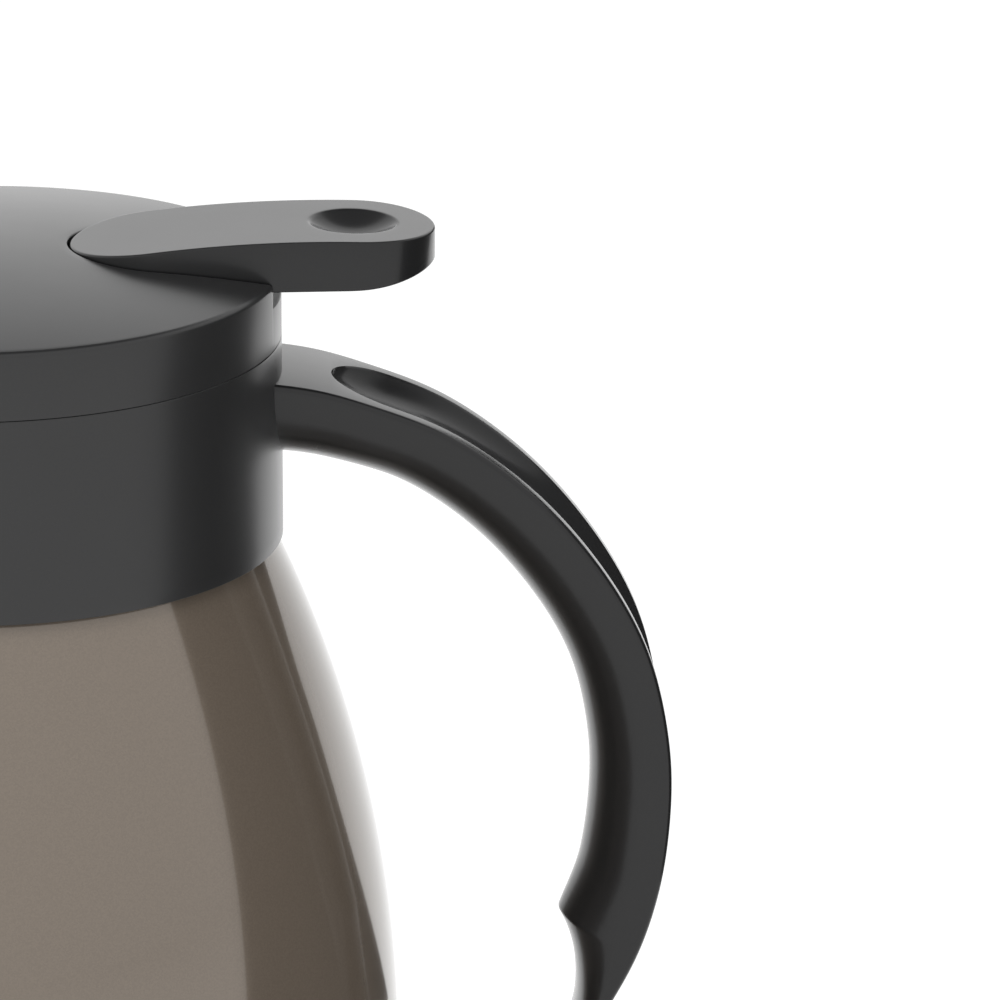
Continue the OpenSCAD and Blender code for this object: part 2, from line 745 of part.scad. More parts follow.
// Smooth step from 0 to 1 while x goes from a to b
function smooth(x, a, b) =
    let (t = min(max((x - a) / (b - a), 0), 1))
    t * t * (3 - 2 * t);
function thickness(s) =
    let (left = path_length - s, full = grip_t + stop_rise * smooth(left, stop_dist + stop_blend, stop_dist),
        root = root_flare * (1 - smooth(s, 0, flare_l)))
    left >= stop_dist ? full + root
    : tip_t + (grip_t + stop_rise - tip_t) * pow(max(left, 0) / stop_dist, tip_hollow);
function half_width(s) =
    let (left = path_length - s)
    tip_w / 2 + (grip_w - tip_w) / 2 * smooth(left, 0, stop_dist + taper_l);
function round_end(x) = x <= 0 ? 0 : x >= 1 ? 1 : sqrt(1 - pow(1 - x, 2));
// Length of the handle's root inside the collar's outline, cut away later
root_in = -outer_path[0][0] * handle_reach;
function groove_share(s) =
    min(round_end((s - root_in - groove_start) / groove_round),
        round_end((path_length - groove_end - s) / groove_round));

// Closed section at a station, as [across, inwards] pairs: a groove with a rounded floor
// and steeper sides, a rounded edge, and half an ellipse for the inner side. The groove
// never closes fully, so that its points stay apart
groove_steps = 6;
groove_power = 3;
edge_steps = 2;
side_steps = 9;
least_groove = 0.02;
function half_section(s) =
    let (w = half_width(s), t = thickness(s), g = max(groove_share(s), least_groove),
        gw = min(groove_w / 2, w - edge_r - groove_rim) * g, e = min(edge_r, t / 3))
    concat(
        [for (j = [0 : groove_steps]) [gw * j / groove_steps,
            groove_h * g * (1 - pow(j / groove_steps, groove_power))]],
        [for (j = [0 : edge_steps]) let (a = 90 * j / edge_steps) [w - e + e * sin(a), e - e * cos(a)]],
        [for (j = [1 : side_steps]) let (a = 90 * j / side_steps)
            [w * cos(a), e + (t - e) * sin(a)]]
    );
function mirror_half(h) = [for (j = [len(h) - 2 : -1 : 1]) [-h[j][0], h[j][1]]];
function ring(k) =
    let (h = half_section(run[k]), p = edge_line[k], d = edge_dir(k), inward = [d[1], -d[0]])
    [for (q = concat(h, mirror_half(h))) [p[0] + inward[0] * q[1], q[0], p[1] + inward[1] * q[1]]];
ring_size = 2 * (groove_steps + edge_steps + side_steps + 2) - 2;

module handle_loft() {
    points = [for (k = [0 : stations]) each ring(k)];
    sides = [for (k = [0 : stations - 1], j = [0 : ring_size - 1])
        let (a = k * ring_size + j, b = k * ring_size + (j + 1) % ring_size)
        each [[a, b, b + ring_size], [a, b + ring_size, a + ring_size]]];
    caps = [
        [for (j = [ring_size - 1 : -1 : 0]) j],
        [for (j = [0 : ring_size - 1]) stations * ring_size + j]
    ];
    polyhedron(points = points, faces = concat(sides, caps), convexity = 6);
}

// The loft starts inside the collar's outline and is cut to the collar's round face,
// so the root seats on it all over. Two bores take the screws from the collar
module handle() color(plastic)
    difference() {
        handle_loft();
        translate([0, 0, collar_z - over])
            cylinder(r = collar_r, h = collar_h + 2 * over, $fn = fine);
        for (side = [-1, 1])
            translate([0, side * bolt_pitch / 2, bolt_z])
                rotate([0, 90, 0])
                    cylinder(r = bolt_r, h = bolt_seat_x + bolt_l + bore_spare, $fn = small);
    }

module handle_bolt(side) color(steel)
    translate([bolt_seat_x, side * bolt_pitch / 2, bolt_z])
        rotate([0, 90, 0])
            union() {
                cylinder(r = bolt_r, h = bolt_l, $fn = small);
                difference() {
                    translate([0, 0, -head_h])
                        cylinder(r = bolt_head_r, h = head_h, $fn = small);
                    driver_cross(bolt_head_r, -head_h);
                }
            }

// Cross recess in a screw's head, its length, width and depth as shares of the head's
cross_size = [1.2, 0.24, 0.5];
module driver_cross(head_r, z) {
    cross_l = cross_size[0] * head_r;
    cross_w = cross_size[1] * head_r;
    for (turn = [0, 90])
        rotate([0, 0, turn])
            translate([-cross_l / 2, -cross_w / 2, z - eps])
                cube([cross_l, cross_w, cross_size[2] * head_h]);
}

module handle_screw_a() handle_bolt(1);

module handle_screw_b() handle_bolt(-1);

module stopper_seal() color(silicone)
    rotate_extrude($fn = fine) {
        band_h = seal_h - 2 * seal_side_gap;
        low_z = seal_z + seal_side_gap;
        in_r = stopper_r - seal_depth + seal_seat_gap;
        square_at(in_r, low_z, stopper_r + seal_band - in_r, band_h);
        for (k = [0 : seal_lips - 1]) {
            lip_z = low_z + (band_h - seal_lip_h) * (k + 0.5) / seal_lips;
            square_at(stopper_r, lip_z, stopper_gap - seal_gap, seal_lip_h);
        }
    }

// Plan of the lever, larger or smaller by an offset
module lever_plan(grow) {
    for (x = [lever_ax, lever_bx])
        translate([x, 0])
            circle(r = lever_half + grow, $fn = fine);
    translate([lever_ax, -lever_half - grow])
        square([lever_bx - lever_ax, lever_w + 2 * grow]);
}

// Straight block in the lid round the lever, open at the rim
module recess_plan(grow) {
    translate([lever_ax, 0])
        circle(r = lever_half + grow, $fn = fine);
    translate([lever_ax, -lever_half - grow])
        square([collar_r, lever_w + 2 * grow]);
}

// Side view below the recess: level under the tip, then falling outwards past the pivot
module recess_side(drop) {
    rotate([90, 0, 0])
        translate([0, 0, -collar_r])
            linear_extrude(height = 2 * collar_r)
                polygon([
                    [0, recess_z - drop],
                    [pivot_x, recess_z - drop],
                    [2 * collar_r, recess_z - drop - (2 * collar_r - pivot_x) * tan(recess_slope)],
                    [2 * collar_r, far + recess_z],
                    [0, far + recess_z]
                ]);
}

module lid_solid() {
    // The rim's round touches both the straight side and the dome
    round_z = dome_top_z - dome_arc + sqrt(pow(dome_arc - rim_round, 2) - pow(collar_r - rim_round, 2));
    rotate_extrude($fn = fine) intersection() {
        union() {
            square_at(0, lid_z, collar_r - rim_round, skirt_h + dome_h);
            square_at(0, lid_z, collar_r, round_z - lid_z);
            translate([collar_r - rim_round, round_z])
                circle(r = rim_round, $fn = medium);
        }
        translate([0, dome_top_z - dome_arc])
            circle(r = dome_arc, $fn = 4 * fine);
        square_at(0, 0, far, far + dome_top_z);
    }
}

module lid_hollow() {
    rotate_extrude($fn = fine) intersection() {
        square_at(0, lid_z - over, lid_in_r, skirt_h + dome_h);
        translate([0, dome_top_z - dome_arc])
            circle(r = dome_arc - lid_t, $fn = 4 * fine);
        square_at(0, 0, far, far + dome_top_z);
    }
}

module lid_cover() color(plastic)
    difference() {
        union() {
            difference() {
                lid_solid();
                lid_hollow();
            }
            intersection() {
                lid_solid();
                translate([0, 0, lid_z + flange_t + eps])
                    linear_extrude(height = skirt_h + dome_h)
                        recess_plan(lever_gap + lid_t);
                recess_side(floor_t);
            }
            // Two bearing blocks under the recess floor
            for (side = [-1, 1])
                translate([
                    pivot_x - lug_r - block_over,
                    side > 0 ? lug_w / 2 + lug_gap : -pin_l / 2 - block_end,
                    block_z
                ])
                    cube([
                        2 * (lug_r + block_over),
                        (pin_l - lug_w) / 2 - lug_gap + block_end,
                        recess_z - floor_t / 2 - block_z
                    ]);
            // Posts for the three lid screws
            intersection() {
                lid_solid();
                for (turn = lid_bolt_turns)
                    rotate([0, 0, turn])
                        translate([lid_bolt_x, 0, flange_top_z])
                            cylinder(r = lid_bolt_r + post_wall, h = skirt_h + dome_h, $fn = small);
            }
        }
        intersection() {
            translate([0, 0, lid_z - over])
                linear_extrude(height = far)
                    recess_plan(lever_gap);
            recess_side(0);
        }
        // Slot for the lug and bore for the pin
        translate([pivot_x - lug_r - slot_gap, -lug_w / 2 - lug_gap, lid_z - over])
            cube([2 * (lug_r + slot_gap), lug_w + 2 * lug_gap, recess_z - lid_z + 2 * over]);
        translate([pivot_x, -pin_l / 2, pivot_z])
            rotate([-90, 0, 0])
                cylinder(r = pin_d / 2 + pin_seat_gap, h = pin_l, $fn = medium);
        for (turn = lid_bolt_turns)
            rotate([0, 0, turn])
                translate([lid_bolt_x, 0, lid_z])
                    cylinder(r = lid_bolt_r, h = lid_bolt_l + bore_spare, $fn = small);
    }

module stopper_cup() color(plastic)
    difference() {
        rotate_extrude($fn = fine) difference() {
            union() {
                square_at(0, cup_z, stopper_r, stopper_h);
                square_at(0, insert_z + cup_step, cup_out_r, flange_top_z - insert_z - cup_step);
                square_at(0, lid_z, collar_in_r, flange_t);
            }
            // Round chamber, ledge for the guide plate and the space above it
            square_at(-eps, valve_seat_z, cup_in_r - guide_ledge_w, far);
            square_at(-eps, valve_seat_z, cup_in_r, guide_seat_z - valve_seat_z);
            square_at(-eps, guide_z, cup_in_r, far);
            square_at(-eps, cup_z - eps, valve_hole_r + eps, far);
            square_at(stopper_r - seal_depth, seal_z, seal_depth + over, seal_h);
        }
        for (k = [0 : windows - 1])
            rotate([0, 0, 360 * (k + 0.5) / windows])
                translate([cup_in_r - cup_t, -window_w / 2, window_z])
                    cube([far, window_w, window_h]);
        for (turn = lid_bolt_turns)
            rotate([0, 0, turn])
                translate([lid_bolt_x, 0, lid_z - over])
                    cylinder(r = lid_bolt_r + lid_bolt_gap, h = flange_t + 2 * over, $fn = small);
    }

module guide_plate() color(plastic)
    rotate_extrude($fn = fine) difference() {
        union() {
            square_at(0, guide_z, cup_in_r - guide_gap, guide_t);
            square_at(0, guide_z - tube_h, stem_d / 2 + tube_wall, tube_h + guide_t);
        }
        square_at(-eps, guide_z - tube_h - over, stem_d / 2 + stem_gap + eps, far);
    }

module lid_gasket() color(silicone)
    rotate_extrude($fn = fine)
        square_at(
            cup_out_r,
            insert_top_z + lid_gasket_gap,
            insert_out_r - cup_out_r,
            lid_z - insert_top_z - lid_gasket_gap
        );

module lever_pin() color(steel)
    translate([pivot_x, -pin_l / 2, pivot_z])
        rotate([-90, 0, 0])
            cylinder(r = pin_d / 2, h = pin_l, $fn = medium);

module lid_bolt(turn) color(steel)
    rotate([0, 0, turn])
        translate([lid_bolt_x, 0, lid_z])
            difference() {
                union() {
                    translate([0, 0, -head_h])
                        cylinder(r = lid_head_r, h = head_h, $fn = small);
                    cylinder(r = lid_bolt_r, h = lid_bolt_l, $fn = small);
                }
                driver_cross(lid_head_r, -head_h);
            }

module lid_screw_a() lid_bolt(lid_bolt_turns[0]);

module lid_screw_b() lid_bolt(lid_bolt_turns[1]);

module lid_screw_c() lid_bolt(lid_bolt_turns[2]);

// Side view of the lever: curved top, level underside, and short slopes that rise ever
// faster to the thinner thumb end
under_steps = 6;
module lever_side() {
    bend_x = lever_bx - under_bend;
    rise = end_z - lever_end_t - lever_low_z;
    top_z = end_z + lever_crown + over;
    intersection() {
        translate(lever_arc_c)
            circle(r = lever_arc, $fn = 4 * fine);
        polygon(concat(
            [[0, lever_low_z]],
            [for (k = [0 : under_steps]) let (t = k / under_steps)
                [bend_x + (lever_end_x - bend_x) * t, lever_low_z + rise * t * t]],
            [[lever_end_x + over, top_z], [0, top_z]]
        ));
    }
}

// Lug, its neck up to the lever, and the arm that bends down over the cup's wall
lug_neck = 0.3;
module lever_arm() {
    rotate([90, 0, 0])
        translate([0, 0, -lug_w / 2])
            linear_extrude(height = lug_w) {
                translate([pivot_x, pivot_z])
                    circle(r = lug_r, $fn = medium);
                translate([pivot_x - lug_r + lug_neck, pivot_z])
                    square([2 * (lug_r - lug_neck), lever_low_z - pivot_z + over]);
                polygon([
                    [-fork_over, arm_low_z],
                    [cup_in_r - arm_bend, arm_low_z + arm_rise],
                    [cup_in_r + arm_gap, flange_top_z + arm_flange_gap],
                    [pivot_x, pivot_z - lug_r],
                    [pivot_x, pivot_z],
                    [pivot_x - lug_r, pivot_z - arm_t / 3],
                    [cup_in_r - 2 * arm_bend, arm_top_z + arm_rise],
                    [arm_level, arm_top_z],
                    [-fork_over, arm_top_z]
                ]);
            }
}

module thumb_lever() color(plastic)
    difference() {
        union() {
            difference() {
                intersection() {
                    translate([0, 0, lever_low_z - over])
                        linear_extrude(height = lever_w)
                            lever_plan(0);
                    rotate([90, 0, 0])
                        translate([0, 0, -lever_half - over])
                            linear_extrude(height = lever_w + 2 * over)
                                lever_side();
                }
                // Hollow underside between the pivot and the thumb end, with one rib across
                intersection() {
                    translate([0, 0, lever_low_z - over])
                        linear_extrude(height = hollow_h + over)
                            difference() {
                                lever_plan(-lever_wall);
                                translate([0, -lever_half])
                                    square([pivot_x + lug_r + hollow_start, lever_w]);
                                translate([lever_bx - rib_back, -lever_half])
                                    square([lever_wall, lever_w]);
                            }
                    translate([0, -lever_half, lever_low_z - 2 * over])
                        cube([lever_bx + hollow_end, lever_w, lever_w]);
                }
            }
            lever_arm();
        }
        translate([lever_bx, 0, dimple_top_z - dimple_h + dimple_r])
            sphere(r = dimple_r, $fn = fine);
        translate([pivot_x, -lug_w, pivot_z])
            rotate([-90, 0, 0])
                cylinder(r = pin_d / 2 + pin_gap, h = 2 * lug_w, $fn = medium);
        // Fork that straddles the valve stem
        translate([fork_back, 0, arm_low_z - over])
            cylinder(r = stem_d / 2 + fork_gap, h = arm_t + 2 * over, $fn = medium);
        translate([-fork_over - over, -stem_d / 2 - fork_gap, arm_low_z - over])
            cube([fork_over + over + fork_back, stem_d + 2 * fork_gap, arm_t + 2 * over]);
    }

module valve_stem() color(plastic)
    translate([0, 0, valve_z])
        cylinder(r = stem_d / 2, h = stem_top_z - valve_z, $fn = medium);

module valve_disc() color(plastic)
    rotate_extrude($fn = fine) {
        square_at(stem_d / 2, valve_z, valve_r - stem_d / 2, valve_t);
        square_at(stem_d / 2, valve_z + valve_t - eps, hub_r - stem_d / 2, hub_h);
    }

module valve_seal() color(silicone)
    rotate_extrude($fn = fine)
        square_at(
            valve_hole_r + valve_seal_back,
            valve_seal_z,
            valve_r - valve_hole_r - valve_seal_back,
            valve_seal_t
        );

module stem_clip() color(steel)
    translate([0, 0, clip_z])
        difference() {
            cylinder(r = clip_r, h = clip_t, $fn = medium);
            translate([0, 0, -eps])
                cylinder(r = stem_d / 2, h = clip_t + 2 * eps, $fn = medium);
        }

// Return spring: a wire swept along a helix, with flattened first and last turns
wire_sides = 6;
wire_rings = 14;
function spring_point(a) =
    let (turns = a / 360, low = spring_low_z + spring_wire / 2, high = guide_z - spring_wire / 2,
        share = smooth_turn(turns / spring_turns))
    [spring_r * cos(a), spring_r * sin(a), low + (high - low) * share];
flat_turns = 0.8;
flat_rise = 0.4;
function smooth_turn(x) =
    let (flat = flat_turns / spring_turns)
    x < flat ? flat_rise * x * x / flat
    : x > 1 - flat ? 1 - flat_rise * (1 - x) * (1 - x) / flat
    : flat_rise * flat + (x - flat) * (1 - 2 * flat_rise * flat) / (1 - 2 * flat);
module return_spring() color(steel) {
    count = spring_turns * wire_rings;
    points = [for (k = [0 : count], j = [0 : wire_sides - 1])
        let (a = 360 * k / wire_rings, b = 360 * j / wire_sides, p = spring_point(a),
            out = spring_wire / 2 * cos(b), up = spring_wire / 2 * sin(b))
        [p[0] + out * cos(a), p[1] + out * sin(a), p[2] + up]];
    sides = [for (k = [0 : count - 1], j = [0 : wire_sides - 1])
        let (a = k * wire_sides + j, b = k * wire_sides + (j + 1) % wire_sides)
        each [[a, b, b + wire_sides], [a, b + wire_sides, a + wire_sides]]];
    caps = [
        [for (j = [wire_sides - 1 : -1 : 0]) j],
        [for (j = [0 : wire_sides - 1]) count * wire_sides + j]
    ];
    polyhedron(points = points, faces = concat(sides, caps), convexity = 10);
}

outer_shell();
inner_liner();
shell_bottom();
getter();
vacuum_plug();
foot_ring();
foot_pad();
collar();
neck_insert();
mouth_gasket();
handle();
handle_screw_a();
handle_screw_b();
stopper_seal();
lid_cover();
stopper_cup();
guide_plate();
lid_gasket();
lever_pin();
lid_screw_a();
lid_screw_b();
lid_screw_c();
thumb_lever();
valve_stem();
valve_disc();
valve_seal();
stem_clip();
return_spring();
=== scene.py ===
import math

import bmesh
import bpy
import numpy as np
from mathutils import Matrix, Vector


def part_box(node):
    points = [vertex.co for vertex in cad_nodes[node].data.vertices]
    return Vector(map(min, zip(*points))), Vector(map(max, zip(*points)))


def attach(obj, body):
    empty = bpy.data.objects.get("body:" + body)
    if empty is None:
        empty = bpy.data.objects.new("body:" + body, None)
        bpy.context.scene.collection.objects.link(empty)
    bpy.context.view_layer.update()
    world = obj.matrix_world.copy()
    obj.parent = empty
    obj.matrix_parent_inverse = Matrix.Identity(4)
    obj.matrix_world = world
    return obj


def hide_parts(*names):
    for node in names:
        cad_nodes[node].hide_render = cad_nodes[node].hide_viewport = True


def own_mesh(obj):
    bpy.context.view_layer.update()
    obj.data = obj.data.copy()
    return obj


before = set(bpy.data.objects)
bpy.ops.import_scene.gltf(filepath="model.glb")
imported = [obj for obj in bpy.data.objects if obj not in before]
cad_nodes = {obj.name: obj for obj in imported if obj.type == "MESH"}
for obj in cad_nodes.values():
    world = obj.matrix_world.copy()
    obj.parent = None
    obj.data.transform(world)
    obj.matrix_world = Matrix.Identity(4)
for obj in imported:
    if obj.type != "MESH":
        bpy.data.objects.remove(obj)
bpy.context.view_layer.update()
mm = 0.001


# Outer shell. One sheet of stainless steel, spun to a long even belly with a ledge for
# the collar and a short neck. It is sprayed with a taupe metallic lacquer under a clear
# coat, and welded to the liner at the mouth.
def turned(outline, segments=256):
    """Surface of revolution: a closed outline of (radius, height) pairs is turned round
    the Z axis in equal steps, so each point goes to (r cos a, r sin a, z)."""
    outline = np.asarray(outline, float)
    angle = np.linspace(0, 2 * np.pi, segments, endpoint=False)[:, None]
    radius, height = outline[:, 0], outline[:, 1]
    return np.stack(
        [radius * np.cos(angle), radius * np.sin(angle), height + 0 * angle], axis=-1
    )


def rounded(corners, radii, steps=5):
    """Closed outline whose corners become arcs. An arc starts and ends at its radius
    times the tangent of half the turn away from the corner, and its points turn evenly
    round its centre. A radius of nought keeps the corner sharp."""
    corner = np.asarray(corners, float)
    radius = np.broadcast_to(np.asarray(radii, float), len(corner))[:, None]
    come = corner - np.roll(corner, 1, axis=0)
    go = np.roll(corner, -1, axis=0) - corner
    come /= np.linalg.norm(come, axis=1, keepdims=True)
    go /= np.linalg.norm(go, axis=1, keepdims=True)
    cross = come[:, 0] * go[:, 1] - come[:, 1] * go[:, 0]
    turn = np.arctan2(cross, (come * go).sum(axis=1))[:, None]
    start = corner - come * radius * np.tan(np.abs(turn) / 2)
    to_start = -np.sign(turn) * np.stack([-come[:, 1], come[:, 0]], axis=1) * radius
    centre = start - to_start
    swing = turn * np.linspace(0, 1, steps + 1)
    x = to_start[:, :1] * np.cos(swing) - to_start[:, 1:] * np.sin(swing)
    y = to_start[:, :1] * np.sin(swing) + to_start[:, 1:] * np.cos(swing)
    return (centre[:, None, :] + np.stack([x, y], axis=-1)).reshape(-1, 2)


def grid_piece(name, grids, crease_deg=38, matt=None):
    """One mesh from several point grids. Each grid is (points, rows_close, columns_close),
    and each cell of four neighbouring points is a face. Points that meet are merged, the
    faces are turned outwards, and edges that turn more than the crease angle stay sharp.
    A share of mattness per point may be given, which the material reads."""
    vertices, faces, first = [], [], 0
    for points, rows_close, columns_close in grids:
        rows, columns = points.shape[:2]
        row = np.arange(rows if rows_close else rows - 1)[:, None]
        column = np.arange(columns if columns_close else columns - 1)[None, :]
        next_row = (row + 1) % rows
        next_column = (column + 1) % columns
        cell = np.stack(
            [
                row * columns + column,
                row * columns + next_column,
                next_row * columns + next_column,
                next_row * columns + column,
            ],
            axis=-1,
        )
        faces.append(cell.reshape(-1, 4) + first)
        vertices.append(points.reshape(-1, 3))
        first += rows * columns
    mesh = bpy.data.meshes.new(name)
    corners = np.concatenate(faces).astype(np.int32)
    points = np.concatenate(vertices).astype(np.float32)
    mesh.vertices.add(len(points))
    mesh.vertices.foreach_set("co", points.ravel())
    mesh.loops.add(corners.size)
    mesh.loops.foreach_set("vertex_index", corners.ravel())
    mesh.polygons.add(len(corners))
    mesh.polygons.foreach_set("loop_start", np.arange(0, corners.size, 4, dtype=np.int32))
    if matt is not None:
        mattness = mesh.attributes.new("matt", "FLOAT", "POINT")
        mattness.data.foreach_set("value", matt.astype(np.float32).ravel())
    mesh.update(calc_edges=True)
    work = bmesh.new()
    work.from_mesh(mesh)
    bmesh.ops.remove_doubles(work, verts=work.verts, dist=0.002 * mm)
    bmesh.ops.dissolve_degenerate(work, edges=work.edges, dist=0.001 * mm)
    bmesh.ops.recalc_face_normals(work, faces=work.faces)
    work.to_mesh(mesh)
    work.free()
    mesh.polygons.foreach_set("use_smooth", np.ones(len(mesh.polygons), bool))
    mesh.set_sharp_from_angle(angle=math.radians(crease_deg))
    mesh.update()
    piece = bpy.data.objects.new(name, mesh)
    bpy.context.scene.collection.objects.link(piece)
    return piece


def finished(piece, material, body, slot, *replaced):
    """Gives a piece its material, its body and the nodes it stands for; the slot is not used."""
    piece.data.materials.clear()
    piece.data.materials.append(material)
    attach(piece, body)
    if replaced:
        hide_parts(*replaced)
    return piece


def effect_group(name, inputs, outputs):
    """An empty node group with named float inputs (name to default) and typed outputs."""
    group = bpy.data.node_groups.new(name, "ShaderNodeTree")
    for label, default in inputs.items():
        socket = group.interface.new_socket(name=label, in_out="INPUT", socket_type="NodeSocketFloat")
        socket.default_value = default
    for label, kind in outputs.items():
        group.interface.new_socket(name=label, in_out="OUTPUT", socket_type=kind)
    return group, group.nodes.new("NodeGroupInput"), group.nodes.new("NodeGroupOutput")


def linked(tree, kind, settings=None, **sources):
    """A node of a kind with its settings made and its inputs linked or set, by socket
    number, as i0, or by socket name with underscores for its spaces."""
    node = tree.nodes.new(kind)
    for key, value in (settings or {}).items():
        setattr(node, key, value)
    for key, source in sources.items():
        numbered = key[0] == "i" and key[1:].isdigit()
        socket = node.inputs[int(key[1:]) if numbered else key.replace("_", " ")]
        if isinstance(source, bpy.types.NodeSocket):
            tree.links.new(source, socket)
        else:
            socket.default_value = source
    return node


def texture_scale(tree, size):
    """Scale of a pattern whose features have a size in millimetres: 1000 over the size."""
    return linked(tree, "ShaderNodeMath", {"operation": "DIVIDE"}, i0=1000.0, i1=size).outputs[0]


def new_material(name, color, roughness, **sockets):
    """A material with one Principled shader whose even values are set on its own sockets."""
    material = bpy.data.materials.new(name)
    material.use_nodes = True
    tree = material.node_tree
    shader = tree.nodes["Principled BSDF"]
    shader.inputs["Base Color"].default_value = (*color, 1)
    shader.inputs["Roughness"].default_value = roughness
    for label, value in sockets.items():
        shader.inputs[label.replace("_", " ")].default_value = value
    return material, tree, shader


# Flakes and orange peel of a sprayed metallic lacquer: fine bright specks, and a slow
# ripple of the clear coat.
flake_group, given, result = effect_group(
    "lacquer_flakes",
    {"Flake Size": 0.25, "Ripple Size": 6.0, "Contrast": 0.1},
    {"Light": "NodeSocketFloat", "Ripple": "NodeSocketFloat"},
)
where = flake_group.nodes.new("ShaderNodeTexCoord")
flakes = linked(
    flake_group,
    "ShaderNodeTexVoronoi",
    Vector=where.outputs["Object"],
    Scale=texture_scale(flake_group, given.outputs["Flake Size"]),
)
speck = linked(flake_group, "ShaderNodeSeparateColor", i0=flakes.outputs["Color"])
centred = linked(flake_group, "ShaderNodeMath", {"operation": "SUBTRACT"}, i0=speck.outputs[0], i1=0.5)
light = linked(
    flake_group,
    "ShaderNodeMath",
    {"operation": "MULTIPLY_ADD"},
    i0=centred.outputs[0],
    i1=given.outputs["Contrast"],
    i2=1.0,
)
ripple = linked(
    flake_group,
    "ShaderNodeTexNoise",
    Vector=where.outputs["Object"],
    Scale=texture_scale(flake_group, given.outputs["Ripple Size"]),
    Detail=1.0,
)
flake_group.links.new(light.outputs[0], result.inputs["Light"])
flake_group.links.new(ripple.outputs["Fac"], result.inputs["Ripple"])

lacquer_color = (0.196, 0.158, 0.1235)
lacquer, tree, shader = new_material(
    "taupe_lacquer", lacquer_color, 0.13, Metallic=0.27, Coat_Weight=0.7, Coat_Roughness=0.03
)
flaked = linked(tree, "ShaderNodeGroup", {"node_tree": flake_group})
tint = linked(tree, "ShaderNodeVectorMath", {"operation": "SCALE"}, i0=lacquer_color)
tree.links.new(flaked.outputs["Light"], tint.inputs["Scale"])
tree.links.new(tint.outputs[0], shader.inputs["Base Color"])
peel = linked(tree, "ShaderNodeBump", Height=flaked.outputs["Ripple"], Strength=0.04, Distance=0.02 * mm)
tree.links.new(peel.outputs["Normal"], shader.inputs["Normal"])

shell_low, shell_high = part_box("outer_shell")
belly_z = 82 * mm
belly_r = shell_high.y
flank_arc = 218 * mm
foot_arc = 300 * mm
sheet = 1 * mm
rim_z = shell_high.z
neck_h = 19.8 * mm
neck_r = 39.5 * mm
shoulder_z = rim_z - neck_h


def belly_radius(z, inset=0.0):
    """Radius of the body at height z: a long arc below the belly line and a tighter one
    above it, both level at the belly, drawn smaller by the inset."""
    arc = np.where(z < belly_z, foot_arc, flank_arc)
    return belly_r - arc + np.sqrt((arc - inset) ** 2 - (z - belly_z) ** 2)


climb = np.linspace(shell_low.z, shoulder_z, 140)
outside = np.stack([belly_radius(climb), climb], axis=1)
inside_climb = np.linspace(shell_low.z, shoulder_z - sheet, 60)
inside = np.stack([belly_radius(inside_climb, sheet), inside_climb], axis=1)
neck = rounded(
    [
        (belly_radius(shoulder_z) - 0.2 * mm, shoulder_z),
        (neck_r, shoulder_z),
        (neck_r, rim_z),
        (neck_r - sheet, rim_z),
        (neck_r - sheet, shoulder_z - sheet),
        (belly_radius(shoulder_z) - 2 * sheet, shoulder_z - sheet),
    ],
    [0, 0.8 * mm, 0.2 * mm, 0.2 * mm, 0.8 * mm, 0],
)
shell_outline = np.vstack([outside, neck, inside[::-1]])
shell = grid_piece("outer_shell_sheet", [(turned(shell_outline, 360), True, True)])
finished(shell, lacquer, "vessel", "lacquer", "outer_shell")


# Inner liner, bottom disc, getter and plug. The liner is spun from stainless steel and
# brushed round; the disc closes the vacuum space from below, with the getter capsule on
# it and the brazed plug of the evacuation hole under it.
spun_group, given, result = effect_group(
    "spun_lines",
    {"Line Width": 0.3},
    {"Height": "NodeSocketFloat", "Roughness": "NodeSocketFloat"},
)
where = spun_group.nodes.new("ShaderNodeTexCoord")
axes = linked(spun_group, "ShaderNodeSeparateXYZ", i0=where.outputs["Object"])
flat = linked(spun_group, "ShaderNodeCombineXYZ", X=axes.outputs["X"], Y=axes.outputs["Y"])
radius = linked(spun_group, "ShaderNodeVectorMath", {"operation": "LENGTH"}, i0=flat.outputs[0])
around = linked(
    spun_group, "ShaderNodeMath", {"operation": "ARCTAN2"}, i0=axes.outputs["Y"], i1=axes.outputs["X"]
)
slow = linked(spun_group, "ShaderNodeMath", {"operation": "MULTIPLY"}, i0=around.outputs[0], i1=0.0006)
spun_at = linked(
    spun_group, "ShaderNodeCombineXYZ", X=radius.outputs["Value"], Y=axes.outputs["Z"], Z=slow.outputs[0]
)
lines = linked(
    spun_group,
    "ShaderNodeTexNoise",
    Vector=spun_at.outputs[0],
    Scale=texture_scale(spun_group, given.outputs["Line Width"]),
    Detail=2.0,
)
line_roughness = linked(
    spun_group, "ShaderNodeMapRange", Value=lines.outputs["Fac"], To_Min=0.22, To_Max=0.4
)
spun_group.links.new(lines.outputs["Fac"], result.inputs["Height"])
spun_group.links.new(line_roughness.outputs[0], result.inputs["Roughness"])

steel, tree, shader = new_material("brushed_steel", (0.58, 0.575, 0.56), 0.3, Metallic=1.0)
spun = linked(tree, "ShaderNodeGroup", {"node_tree": spun_group})
tree.links.new(spun.outputs["Roughness"], shader.inputs["Roughness"])
scratch = linked(tree, "ShaderNodeBump", Height=spun.outputs["Height"], Strength=0.12, Distance=0.02 * mm)
tree.links.new(scratch.outputs["Normal"], shader.inputs["Normal"])

liner_low, liner_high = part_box("inner_liner")
mouth_r = 36 * mm
vacuum = 6.2 * mm
liner_corner = 12 * mm
cone_low_z = shoulder_z - 19.2 * mm
throat_z = shoulder_z - 5.2 * mm


